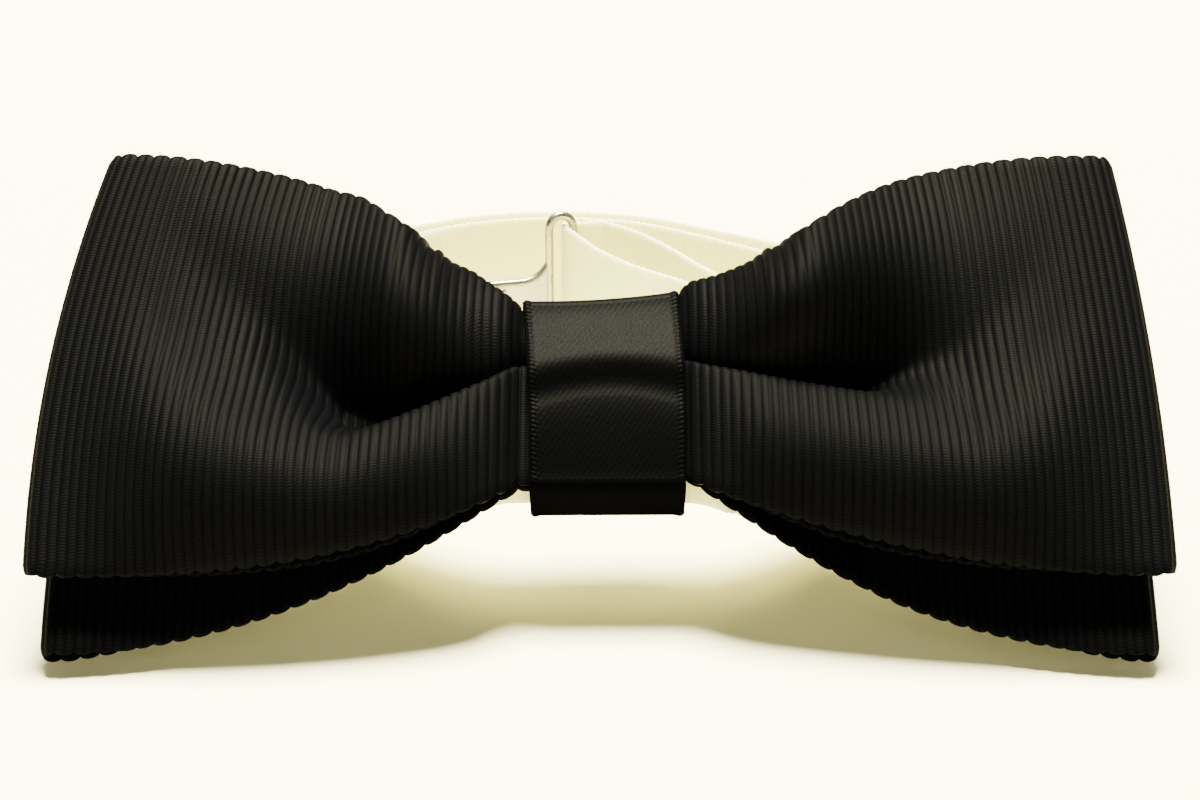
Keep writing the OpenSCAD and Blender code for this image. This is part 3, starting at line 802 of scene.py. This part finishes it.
class BOWTIE_OT_bow_loops(Operator):
    """Lays the two ribbed loops of the bow, pleated towards the knot"""

    bl_idname = "bow_tie.bow_loops"
    bl_label = "Bow Loops"

    def execute(self, context):
        settings = context.scene.bow_tie_ribbon
        material = black_ribbon_material()
        left, right = wing_panels(-1, settings), wing_panels(1, settings)
        front = bow_loop("Front bow loop", "front_bow_loop", loop_grid(left[0], right[0], left[1], right[1]), settings, material)
        rear = bow_loop("Rear bow loop", "rear_bow_loop", loop_grid(left[2], right[2], left[3], right[3]), settings, material)
        return {"FINISHED"}


# ---------------------------------------------------------------- centre band


def band_outline(x, settings):
    """The band's closed path round the knot at one place across it: heights and depths of its middle."""
    arch = 1 - (x / 7.8) ** 2
    low, high, front, back = 11.8, 34.25 - 0.4 * arch, -2.72, -9.1
    crease, crease_out = 21.1 + 1.6 * arch, 0.8
    u = np.linspace(low + 1.0, high - 1.0, 90)
    rise = clip((u - crease) / (high - crease))
    upper = (1 - ease(rise)) * (crease_out + settings.upper_lobe * ease(rise / 0.3))
    down = clip((crease - u) / (crease - low))
    lower = mix(crease_out, -0.4, down) + np.sin(math.pi * down**0.6) * settings.lower_lobe
    face = front + np.convolve(np.pad(np.where(u > crease, upper, lower), 4, mode="edge"), np.ones(9) / 9, mode="valid")

    def corner(cu, cw, a0, a1):
        a = np.radians(np.linspace(a0, a1, 12)[1:-1])
        return cu + np.cos(a) * 1.0, cw + np.sin(a) * 1.0

    top_w, low_w = face[-1] - 1.0, face[0] - 1.0
    c1 = corner(high - 1.0, top_w, 90, 0)
    c2 = corner(high - 1.0, back + 1.0, 0, -90)
    c3 = corner(low + 1.0, back + 1.0, -90, -180)
    c4 = corner(low + 1.0, low_w, 180, 90)
    down = np.linspace(0, 1, 24)[1:-1]
    us = np.concatenate([u, c1[0], np.full(22, high), c2[0], u[::-1], c3[0], np.full(22, low), c4[0]])
    ws = np.concatenate([face, c1[1], mix(top_w, back + 1.0, down), c2[1], np.full(90, back), c3[1], mix(back + 1.0, low_w, down), c4[1]])
    return us, ws


class BOWTIE_OT_centre_band(Operator):
    """Wraps the satin band round the knot"""

    bl_idname = "bow_tie.centre_band"
    bl_label = "Centre Band"

    def execute(self, context):
        settings = context.scene.bow_tie_knot
        half_w = settings.width / 2
        edge = np.array([0.0, 0.12, 0.3, 0.5, 0.7, 0.9, 1.1])
        xs = np.concatenate([-half_w + edge, np.linspace(-half_w + 1.1, half_w - 1.1, 26)[1:-1], half_w - edge[::-1]])
        columns = []
        for x in xs:
            us, ws = band_outline(x, settings)
            loop = np.stack([us, ws], -1)
            loop = np.concatenate([loop, loop[:1]])
            gaps = np.linalg.norm(np.diff(loop, axis=0), axis=1)
            run = np.concatenate([[0], np.cumsum(gaps)]) / gaps.sum()
            at = np.arange(600) / 600
            columns.append(np.stack([np.interp(at, run, loop[:, 0]), np.interp(at, run, loop[:, 1])], -1))
        shape = np.stack(columns, 1)
        count = shape.shape[0]
        along = np.arange(count) * 62.0 / count
        rise = (shape[..., 0] - 12) / 22
        at_x = xs[None, :] * (0.987 + 0.045 * rise) + 0.75 - 0.69 * rise + 0.25 * np.sin(math.pi * clip(rise))
        grid = from_bow(at_x, shape[..., 0] + (0.005 + 0.073 * rise) * xs[None, :], shape[..., 1])
        from_edge = np.minimum(xs + half_w, half_w - xs)
        ladder = np.abs(np.sin(math.pi * (along[:, None] + 0.4 * from_edge[None, :]) / 0.55)) ** 0.6
        rim = np.exp(-(((from_edge - 0.45) / 0.32) ** 2))[None, :]
        half = 0.2 + rim * (0.02 + 0.13 * ladder)
        half = half * np.sqrt(clip(0.15 + from_edge / 0.35))[None, :]
        across = np.broadcast_to(xs + half_w, grid.shape[:2])
        band = cloth_object("Satin centre band", grid[::-1], half[::-1], along, across, satin_material(), closed=True)
        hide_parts("centre_band")
        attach(band, "bow")
        return {"FINISHED"}


# ---------------------------------------------------------------- neck strap

HOLD = (0.0, -29.4025, 17.2451)
ON_TABLE = 9.5
RAISED = 11.4
JOIN_X = 12.8
HELD_X = 8.4
JOIN_BACK = 2.2
STRAP_W0 = -8.44
RUN_AIM = np.array([8.0, 30.0]) / math.hypot(8, 30)
RUN_FROM = np.array([-43.0, -0.2])
FAR_MID = np.array([-6.0, 25.8])
FAR_R = 27.2
HOOK_BAR = np.array([-3.6, 38.4])
EYE_BAR = np.array([43.6, 0.6])
EYE_AIM = math.radians(66)
HOOK_AIM = math.radians(198)
SLIDE_AT = 12.5
MID_OFF = 2.05
OUTER_OFF = 1.3
END_R = 0.85
WRAP_R = 1.3
LEAN_DEG = 49.3


def run_point(d, z=RAISED, inward=0.0):
    p = RUN_FROM + RUN_AIM * d + np.array([RUN_AIM[1], -RUN_AIM[0]]) * inward
    return [p[0], p[1], z, 0.0]


def far_point(angle, r, z=ON_TABLE):
    a = math.radians(angle)
    return [FAR_MID[0] + r * math.cos(a), FAR_MID[1] + r * math.sin(a), z, 0.0]


def leaving(side):
    return [
        [side * (JOIN_X + 0.3), HOLD[1] + JOIN_BACK * math.cos(LEAN), HOLD[2] - JOIN_BACK * math.sin(LEAN), LEAN_DEG],
        [side * (JOIN_X + 4.3), HOLD[1] + 4.2, mix(HOLD[2], ON_TABLE, 0.42), LEAN_DEG - 7],
        [side * (JOIN_X + 9.3), HOLD[1] + 8.6, mix(HOLD[2], ON_TABLE, 0.62), LEAN_DEG - 17],
        [side * (JOIN_X + 17), HOLD[1] + 14.6, mix(HOLD[2], ON_TABLE, 0.84), LEAN_DEG - 30],
    ]


def bar_turn(bar, r, start, step, z):
    return [[bar[0] + r * math.cos(math.radians(start + step * j)), bar[1] + r * math.sin(math.radians(start + step * j)), z, 0.0] for j in range(7)]


def long_side():
    """The strap's long side: out to the far turn, back to the hook and round to the slide again."""
    out = leaving(-1) + [[-38.6, -11.2, ON_TABLE + 0.4, 9.0]]
    out += [run_point(d) for d in (-5, 0, 6, 12, 18, 24, 29)]
    out += [far_point(a, FAR_R) for a in range(160, 39, -20)]
    out += [[22, 37.2, ON_TABLE, 0], [28.4, 29.6, ON_TABLE, 0], [31.6, 20.2, ON_TABLE, 0], [29.4, 10.4, ON_TABLE, 0],
            [22.6, 5.6, ON_TABLE, 0], [15.8, 9.6, ON_TABLE, 0], [10, 17, ON_TABLE + 0.2, 0], [4.4, 23.4, ON_TABLE + 0.3, 0], [-0.4, 29.4, ON_TABLE + 0.9, 0]]
    back = [[0.4, 40.2, RAISED, 0], [4.8, 37, RAISED - 0.6, 0], [9, 30.6, ON_TABLE + 0.8, 0], [12.8, 23.6, ON_TABLE + 0.2, 0], [17, 16.2, ON_TABLE, 0],
            [21.8, 11.8, ON_TABLE, 0], [26, 14, ON_TABLE, 0], [27.4, 20.8, ON_TABLE, 0], [24.4, 27.8, ON_TABLE, 0], [18.8, 34.2, ON_TABLE, 0]]
    back += [far_point(54 + 20.5 * j, FAR_R - 3.5) for j in range(5)] + [far_point(160, FAR_R - 3.2)]
    path = smooth_curve(out, 10)
    turn = smooth_curve(bar_turn(HOOK_BAR, WRAP_R, 205, -27, RAISED), 4)
    return np.concatenate([path, turn, smooth_curve(back, 10)])


def short_side():
    aim = np.array([math.cos(EYE_AIM), math.sin(EYE_AIM)])
    side = np.array([aim[1], -aim[0]])

    def beside(along, off):
        p = EYE_BAR + aim * along + side * off
        return [p[0], p[1], RAISED, 0.0]

    way = leaving(1) + [[36.4, -12, ON_TABLE + 0.9, 9.0], beside(-8, WRAP_R), beside(-4, WRAP_R)]
    turn = bar_turn(EYE_BAR, WRAP_R, 66 - 90, 30, RAISED)
    back = [beside(-4, -WRAP_R), beside(-8, -WRAP_R)]
    return np.concatenate([smooth_curve(way, 10), smooth_curve(turn, 4), smooth_curve(back, 6)])


def strap_frames(path, turn, square_length):
    """Middle and width direction along the strap."""
    flat = np.gradient(path[:, :2], axis=0)
    way = unit(flat)
    first = np.array([np.sign(way[0][0]), 0.0])
    run = np.concatenate([[0], np.cumsum(np.linalg.norm(np.diff(path[:, :3], axis=0), axis=1))])
    f = ease(run / square_length)[:, None] if square_length else np.ones((len(path), 1))
    aim = unit(mix(first, way, f))
    side = turn * np.stack([aim[:, 1], -aim[:, 0], np.zeros(len(aim))], -1)
    lean = np.radians(path[:, 3])[:, None]
    up = np.array([0, 0, 1.0]) * np.cos(lean) + side * np.sin(lean)
    return path[:, :3], up


def strap_grid(path, turn, square_length, width, ends=(0.0, 1.0)):
    path, run = even_steps(path, 0.25, 4)
    middle, up = strap_frames(path, turn, square_length)
    rows = np.array([0.0, 0.15, 0.4, 0.8])
    v = np.concatenate([rows, np.linspace(0.8, width - 0.8, 12)[1:-1], width - rows[::-1]])
    low, high = int(len(run) * ends[0]), int(math.ceil(len(run) * ends[1]))
    edge = np.minimum(v, width - v)
    scallop = np.abs(np.sin(math.pi * np.arange(len(run)) / 4)) ** 0.8 * 0.16
    v_out = v[None] + np.where(v < width / 2, -1, 1)[None] * (scallop[:, None] - 0.16) * clip(1 - edge / 0.8)[None]
    grid = middle[:, None] + up[:, None] * (v_out - width / 2)[..., None]
    return grid[low:high], run[low:high], v, edge


def strap_piece(name, grid, run, v, edge, settings, material, body):
    count = len(grid)
    rib = np.sin(math.pi * (np.arange(count) % 4) / 4) ** 0.6
    half = (settings.thickness / 2 + settings.rib_height * rib[:, None]) * np.sqrt(clip(0.3 + edge / 0.5))[None]
    across = np.broadcast_to(v, grid.shape[:2])
    thing = cloth_object(name, grid, half, run, across, material, closed=False)
    if body:
        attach(thing, body)
    return thing


def split_run(grid, run, cut):
    """Splits a strap at a distance along it, sharing the row at the cut."""
    k = int(round(np.searchsorted(run, cut) / 4)) * 4
    return (grid[: k + 1], run[: k + 1]), (grid[k:], run[k:])


class BOWTIE_OT_neck_strap(Operator):
    """Coils the cream neck strap behind the bow"""

    bl_idname = "bow_tie.neck_strap"
    bl_label = "Neck Strap"

    def execute(self, context):
        settings = context.scene.bow_tie_strap
        material = strap_material()
        width = settings.width
        for side, path, turn, nodes, body_name in (
            (-1, long_side(), 1, "long_neck_strap", "Long strap"),
            (1, short_side(), -1, "short_neck_strap", "Short strap"),
        ):
            grid, run, v, edge = strap_grid(path, turn, 19.0, width)
            near, rest = split_run(grid, run, 11.0)
            exit_piece = strap_piece(body_name + " leaving the knot", near[0], near[1], v, edge, settings, material, None)
            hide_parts(nodes)
            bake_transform(exit_piece)
            main = strap_piece(body_name, rest[0], rest[1], v, edge, settings, material, "neck_strap")
            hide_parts(nodes)
        self.through_knot(settings, material)
        self.onto_slide(settings, material)
        return {"FINISHED"}

    def through_knot(self, settings, material):
        x = np.linspace(-JOIN_X - 0.3, JOIN_X + 0.3, 105)
        w = STRAP_W0 - JOIN_BACK * (np.maximum(0, np.abs(x) - HELD_X) / (JOIN_X - HELD_X)) ** 2
        w = np.maximum(w, STRAP_W0 - JOIN_BACK)
        v = np.linspace(0, settings.width, 14)
        edge = np.minimum(v, settings.width - v)
        grid = from_bow(x[:, None], 22.6 - settings.width / 2 + v[None], w[:, None])
        piece = strap_piece("Strap through the knot", grid, x - x[0], v, edge, settings, material, "bow")
        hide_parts("strap_in_knot")

    def onto_slide(self, settings, material):
        """The strap's end: past the far turn it comes back to the slide's middle bar and is sewn round it."""
        r = END_R + 0.3
        bar = np.array(run_point(SLIDE_AT, inward=MID_OFF)[:2])
        aim, inward = RUN_AIM, np.array([RUN_AIM[1], -RUN_AIM[0]])
        a = np.linspace(0, 2 * math.pi, 28)[1:-1]
        # from the inner ply to the bar, round it and back beside itself as a short tail
        far = np.array([far_point(160, FAR_R - 3.2)[:2], far_point(168, FAR_R - 3.2)[:2]])
        lead = [[*far[0], ON_TABLE, 0], [*far[1], mix(ON_TABLE, RAISED, 0.4), 0]]
        lead += [[*(bar + aim * d + inward * (r + 0.02)), RAISED, 0] for d in (13, 9, 5, 1.5)]
        round_bar = [[*(bar + inward * r * math.cos(b) - aim * r * math.sin(b)), RAISED, 0] for b in np.linspace(0, math.pi, 9)]
        tail = [[*(bar + aim * d - inward * mix(r, -r + 0.62, ease(d / 5.0))), RAISED, 0] for d in (1.4, 3.0, 5.0, 7.0, 9.0)]
        path = np.concatenate([smooth_curve(lead, 8), smooth_curve(round_bar, 2), smooth_curve(tail, 6)])
        grid, run, v, edge = strap_grid(path, 1, 0, settings.width)
        k = int(np.argmin(np.abs(grid.mean(axis=1)[:, :2] - (bar + aim * 9 + inward * r)).sum(axis=1)[: len(grid) // 2]))
        k = k // 4 * 4
        lead_piece = strap_piece("Strap between far turn and slide", grid[: k + 1], run[: k + 1], v, edge, settings, material, None)
        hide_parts("long_neck_strap")
        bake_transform(lead_piece)
        loop_piece = strap_piece("Strap end round the slide bar", grid[k:], run[k:], v, edge, settings, material, "slide")
        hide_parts("strap_end_loop")


# ---------------------------------------------------------------- stitches


def stitch(a, b, lift, radius=0.14):
    """A thread that arches from point a to point b."""
    a, b, lift = (np.asarray(p, float) for p in (a, b, lift))
    f = np.linspace(0, 1, 12)[:, None]
    path = mix(a, b, f) + lift * np.sin(math.pi * f) ** 0.6
    return tube_parts(path, radius, 8, False)


class BOWTIE_OT_stitches(Operator):
    """Sews the loops, the band and the strap ends"""

    bl_idname = "bow_tie.stitches"
    bl_label = "Stitches"

    def execute(self, context):
        black = thread_material("Black thread", (0.001, 0.001, 0.0014))
        cream = thread_material("Cream thread", (0.8, 0.77, 0.6))

        def add(name, node, parts, material, body):
            thing = joined(name, parts, material)
            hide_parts(node)
            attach(thing, body)

        def bow_line(name, node, w):
            parts = [stitch(from_bow(0, 22.6 + j * 3.4 - 1.1, w), from_bow(0, 22.6 + j * 3.4 + 1.1, w), from_bow(0, 0, -0.5) - from_bow(0, 0, 0)) for j in range(-2, 3)]
            add(name, node, parts, black, "bow")

        bow_line("Front loop seam", "front_loop_seam", -4.93)
        bow_line("Rear loop seam", "rear_loop_seam", -7.09)
        turns = []
        for x in (-3.0, 0.0, 3.0):
            corners = [(12.6, -3.4), (22.6, -3.3), (32.5, -3.4), (32.6, -5.5), (32.5, -7.7), (22.6, -7.75), (12.6, -7.7), (12.5, -5.5)]
            path = smooth_curve([from_bow(x + 0.2 * math.sin(i), u, w) for i, (u, w) in enumerate(corners)], 8, closed=True)
            turns.append(tube_parts(path, 0.15, 8, True))
        add("Gathering thread", "gather_thread", turns, black, "bow")
        back = from_bow(0, 0, -0.25) - from_bow(0, 0, 0)
        seam = [stitch(from_bow(j * 1.9 - 0.55, 17.4 + 0.15 * (-1) ** j, -9.28), from_bow(j * 1.9 + 0.55, 17.6 - 0.15 * (-1) ** j, -9.28), back) for j in range(-3, 4)]
        add("Centre band seam", "centre_band_seam", seam, black, "bow")
        tacks = [stitch(from_bow(x * 4.7, 22.6 + j * 4 - 1.5, -9.28), from_bow(x * 4.7, 22.6 + j * 4 + 1.5, -9.28), back) for x in (-1, 1) for j in (-1, 1)]
        add("Strap anchor tacks", "strap_anchor_stitches", tacks, black, "bow")
        bar = np.array(run_point(SLIDE_AT, inward=MID_OFF)[:2])
        inward = np.array([RUN_AIM[1], -RUN_AIM[0], 0])
        parts = []
        for j in range(-4, 5):
            base = np.array([*(bar + RUN_AIM * 6.5), RAISED + j * 1.9]) + inward * (END_R + 0.3)
            step = np.array([0, 0, 0.75])
            parts.append(stitch(base - step + inward * 0.25, base + step + inward * 0.25, inward * 0.25))
            parts.append(stitch(base - step - inward * 0.85, base + step - inward * 0.85, -inward * 0.25))
        add("End loop stitches", "end_loop_stitches", parts, cream, "slide")
        aim = np.array([math.cos(EYE_AIM), math.sin(EYE_AIM), 0])
        side = np.array([aim[1], -aim[0], 0])
        parts = []
        for j in range(-4, 5):
            base = np.array([*EYE_BAR, RAISED + j * 1.9]) - aim * 6
            step = np.array([0, 0, 0.75])
            for s in (-1, 1):
                out = side * s * (WRAP_R + 0.2)
                parts.append(stitch(base - step + out, base + step + out, side * s * 0.25))
            parts.append(stitch(base - step + side * WRAP_R, base - step - side * WRAP_R, np.zeros(3), 0.1))
        add("Eye fold stitches", "eye_fold_stitches", parts, cream, "neck_strap")
        return {"FINISHED"}


# ---------------------------------------------------------------- fittings


def placed(points, origin, angle):
    """Puts points given as along, across, up at a fitting's place."""
    points = np.asarray(points, float)
    c, s = math.cos(angle), math.sin(angle)
    x = origin[0] + points[..., 0] * c - points[..., 1] * s
    y = origin[1] + points[..., 0] * s + points[..., 1] * c
    return np.stack([x, y, RAISED + points[..., 2]], -1)


def wire_frame(bars, height, corner):
    """Keys of a closed wire through two upright bars, round over the top and under the bottom."""
    (x0, y0), (x1, y1) = bars
    keys = []
    for f in np.linspace(-1, 1, 9):
        keys.append((x0, y0, f * (height - corner)))
    for b in np.linspace(0, math.pi, 9)[1:-1]:
        f = (1 - math.cos(b)) / 2
        keys.append((mix(x0, x1, f), mix(y0, y1, f), height - corner + corner * math.sin(b)))
    for f in np.linspace(1, -1, 9):
        keys.append((x1, y1, f * (height - corner)))
    for b in np.linspace(0, math.pi, 9)[1:-1]:
        f = (1 + math.cos(b)) / 2
        keys.append((mix(x0, x1, f), mix(y0, y1, f), -(height - corner) - corner * math.sin(b)))
    return keys


def plate_parts(outline, thickness, bend=None):
    """A stamped plate with rounded rims from rows of (along, half height); bend lifts it sideways."""
    along, reach = outline[:, 0], outline[:, 1]
    sweep = np.linspace(-1, 1, 13)
    grid = np.stack([np.broadcast_to(along[:, None], (len(along), 13)), np.zeros((len(along), 13)), reach[:, None] * sweep[None]], -1)
    if bend is not None:
        grid[..., 0], grid[..., 1] = bend(grid[..., 0])
    rim = np.sqrt(clip(0.35 + (1 - np.abs(sweep)) / 0.25))
    half = (thickness / 2) * rim[None, :] * np.sqrt(clip(0.5 + np.minimum(np.arange(len(along)), np.arange(len(along))[::-1]) / 2.0))[:, None]
    normal = surface_normals(grid, False)
    top, under = grid + normal * half[..., None], grid - normal * half[..., None]
    rows, cols = grid.shape[:2]
    ring = np.concatenate([top, under[:, ::-1]], axis=1)
    n = 2 * cols
    i, j = np.meshgrid(np.arange(rows - 1), np.arange(n), indexing="ij")
    m = (j + 1) % n
    quads = np.stack([i * n + j, (i + 1) * n + j, (i + 1) * n + m, i * n + m], -1).reshape(-1, 4)
    c = np.arange(cols - 1)
    ends = [np.stack([r * n + c, r * n + c + 1, r * n + (n - 2 - c), r * n + (n - 1 - c)], -1) for r in (0, rows - 1)]
    quads = np.concatenate([quads, ends[0], ends[1][:, ::-1]])
    return ring.reshape(-1, 3), quads, np.zeros((len(quads), 4, 2))


def moved_parts(parts, origin, angle):
    v, q, t = parts
    return placed(v, origin, angle), q, t


class BOWTIE_OT_fittings(Operator):
    """Bends the wire frames of the slide, the hook and the eye, and stamps the hook's tongue"""

    bl_idname = "bow_tie.fittings"
    bl_label = "Slide, Hook and Eye"

    def execute(self, context):
        metal = metal_material()
        r = context.scene.bow_tie_metal.wire / 2
        self.slide(metal, r)
        self.hook(metal, r)
        self.eye(metal, r)
        return {"FINISHED"}

    def finish_piece(self, name, node, body, parts, metal):
        thing = joined(name, parts, metal)
        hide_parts(node)
        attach(thing, body)

    def slide(self, metal, r):
        origin = run_point(SLIDE_AT)[:2]
        angle = math.atan2(RUN_AIM[1], RUN_AIM[0])
        top = 10.5
        keys = []
        for z in np.linspace(-9.2, 9.2, 9):
            keys.append((-4.2, OUTER_OFF, z))
        keys += [(-3.6, 0.9, top), (-1.9, -0.6, top + 0.1), (0, -MID_OFF, top + 0.1), (1.9, -0.6, top + 0.1), (3.6, 0.9, top)]
        for z in np.linspace(9.2, -9.2, 9):
            keys.append((4.2, OUTER_OFF, z))
        keys += [(3.6, 0.9, -top), (1.9, -0.6, -top - 0.1), (0, -MID_OFF, -top - 0.1), (-1.9, -0.6, -top - 0.1), (-3.6, 0.9, -top)]
        ring = smooth_curve(placed(keys, origin, angle), 5, closed=True)
        bar = placed([(0, -MID_OFF, z) for z in np.linspace(-top, top, 30)], origin, angle)
        self.finish_piece("Slide adjuster", "slide_adjuster", "slide", [tube_parts(ring, r, 14, True), tube_parts(bar, r, 14, False)], metal)

    def hook(self, metal, r):
        frame_keys = wire_frame(((0, 0), (3.3, 0)), 10.7, 1.65)
        ring = smooth_curve(placed(frame_keys, HOOK_BAR, HOOK_AIM), 4, closed=True)
        start, length, half = 3.3, 11.2, 2.4
        x = np.concatenate([np.linspace(0, 4.2, 16), np.linspace(4.2, length, 12)[1:]])
        flare = np.where(x < 4.0, 4.0 - np.sqrt(np.maximum(0, 16 - (4.0 - x) ** 2)), 0)
        outline = np.stack([start + x, half + flare], -1)
        tongue = plate_parts(outline, 1.0)

        def folded(a):
            b = a - (start + length)
            turn = clip(b / 3.5) * math.pi
            return (start + length + 1.1 * np.sin(turn) - np.maximum(0, b - 3.5)), 1.1 * (1 - np.cos(turn))

        lip = np.stack([np.linspace(start + length - 0.2, start + length + 8.0, 22), np.full(22, half) - np.linspace(0, 0.5, 22)], -1)
        tip = plate_parts(lip, 0.8, folded)
        parts = [tube_parts(ring, r * 0.82, 14, True), moved_parts(tongue, HOOK_BAR, HOOK_AIM), moved_parts(tip, HOOK_BAR, HOOK_AIM)]
        self.finish_piece("Hook", "hook", "hook", parts, metal)

    def eye(self, metal, r):
        frame_keys = wire_frame(((0, 0), (3.8, 0)), 10.9, 1.9)
        ring = smooth_curve(placed(frame_keys, EYE_BAR, EYE_AIM), 4, closed=True)
        slot = 8.0
        loop = [(3.8, 0, -slot / 2 - 0.7), (6.0, 0, -slot / 2 - 0.7), (8.2, 0, -slot / 2 - 0.6), (8.7, 0, -slot / 2 + 0.3), (8.7, 0, 0),
                (8.7, 0, slot / 2 - 0.3), (8.2, 0, slot / 2 + 0.6), (6.0, 0, slot / 2 + 0.7), (3.8, 0, slot / 2 + 0.7)]
        path = smooth_curve(placed(loop, EYE_BAR, EYE_AIM), 6)
        self.finish_piece("Eye", "eye_ring", "eye", [tube_parts(ring, r, 14, True), tube_parts(path, 0.65, 14, False)], metal)


# ---------------------------------------------------------------- stage


class BOWTIE_OT_stage(Operator):
    """Sets the white table, the soft light and the camera"""

    bl_idname = "bow_tie.stage"
    bl_label = "Stage"

    def execute(self, context):
        settings = context.scene.bow_tie_stage
        rings, spokes = 24, 64
        r = np.linspace(0, 1, rings) ** 1.6 * 4000
        a = np.linspace(0, 2 * math.pi, spokes, endpoint=False)
        grid = np.stack([r[:, None] * np.cos(a), r[:, None] * np.sin(a), np.zeros((rings, spokes))], -1)
        i, j = np.meshgrid(np.arange(rings - 1), np.arange(spokes), indexing="ij")
        m = (j + 1) % spokes
        quads = np.stack([i * spokes + j, (i + 1) * spokes + j, (i + 1) * spokes + m, i * spokes + m], -1).reshape(-1, 4)
        floor = mesh_object("Table", grid, quads, np.zeros((len(quads), 4, 2)), floor_material())
        world = bpy.data.worlds.new("White surround")
        world.use_nodes = True
        tree = world.node_tree
        sky = tree.nodes["Background"]
        way = tree.nodes.new("ShaderNodeSeparateXYZ")
        link(tree, tree.nodes.new("ShaderNodeTexCoord").outputs["Generated"], way.inputs[0])
        glow = tree.nodes.new("ShaderNodeMapRange")
        glow.interpolation_type = "SMOOTHSTEP"
        glow.inputs["From Min"].default_value = 0.1
        glow.inputs["From Max"].default_value = 0.8
        glow.inputs["To Min"].default_value = 1.0
        glow.inputs["To Max"].default_value = 0.3
        link(tree, way.outputs[2], glow.inputs["Value"])
        from_behind = tree.nodes.new("ShaderNodeMapRange")
        from_behind.interpolation_type = "SMOOTHSTEP"
        from_behind.inputs["From Min"].default_value = -0.7
        from_behind.inputs["From Max"].default_value = 0.5
        from_behind.inputs["To Min"].default_value = settings.front_sky
        link(tree, way.outputs[1], from_behind.inputs["Value"])
        sides = math_node(tree, "MULTIPLY", glow.outputs[0], from_behind.outputs[0])
        link(tree, shades(tree, sides, (0, 0, 0), LIGHT_COLOR), sky.inputs["Color"])
        sky.inputs["Strength"].default_value = settings.sky
        context.scene.world = world
        for name, place, aim, size, power in (
            ("Overhead softbox", (0.0, 0.5, 2.0), (0.0, 0.0, 0.0), 0.9, settings.key),
            ("Front fill", (0.0, -0.9, 0.45), (0.0, 0.0, 0.01), 1.0, settings.fill),
        ):
            lamp = bpy.data.lights.new(name, "AREA")
            lamp.shape = "DISK"
            lamp.size = size
            lamp.energy = power
            lamp.color = LIGHT_COLOR
            thing = bpy.data.objects.new(name, lamp)
            context.scene.collection.objects.link(thing)
            thing.location = place
            thing.rotation_euler = (Vector(aim) - Vector(place)).to_track_quat("-Z", "Y").to_euler()
        camera_data = bpy.data.cameras.new("Camera")
        camera_data.lens = settings.lens
        camera_data.sensor_width = 36.0
        camera_data.clip_start = 0.01
        camera = bpy.data.objects.new("Camera", camera_data)
        context.scene.collection.objects.link(camera)
        camera.location = (0.0, -0.23171, 0.0891)
        camera.rotation_euler = (math.radians(71.0), 0, 0)
        context.scene.camera = camera
        return {"FINISHED"}


# ---------------------------------------------------------------- panel and run

STEPS = (BOWTIE_OT_bow_loops, BOWTIE_OT_centre_band, BOWTIE_OT_neck_strap, BOWTIE_OT_stitches, BOWTIE_OT_fittings, BOWTIE_OT_stage)


class BOWTIE_PT_panel(Panel):
    """Lists the pieces of the bow tie and their settings"""

    bl_label = "Bow Tie"
    bl_idname = "BOWTIE_PT_panel"
    bl_space_type = "VIEW_3D"
    bl_region_type = "UI"
    bl_category = "Bow Tie"

    def draw(self, context):
        for name, group in SETTINGS.items():
            box = self.layout.box()
            box.label(text=group.__doc__)
            for key in group.__annotations__:
                box.prop(getattr(context.scene, name), key)
        for step in STEPS:
            self.layout.operator(step.bl_idname)


CLASSES = tuple(SETTINGS.values()) + STEPS + (BOWTIE_PT_panel,)


def register():
    for item in CLASSES:
        bpy.utils.register_class(item)
    for name, group in SETTINGS.items():
        setattr(bpy.types.Scene, name, PointerProperty(type=group))


def unregister():
    for name in SETTINGS:
        delattr(bpy.types.Scene, name)
    for item in reversed(CLASSES):
        bpy.utils.unregister_class(item)


def main():
    register()
    for step in STEPS:
        group, name = step.bl_idname.split(".")
        getattr(getattr(bpy.ops, group), name)()
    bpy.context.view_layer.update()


if __name__ == "__main__":
    main()
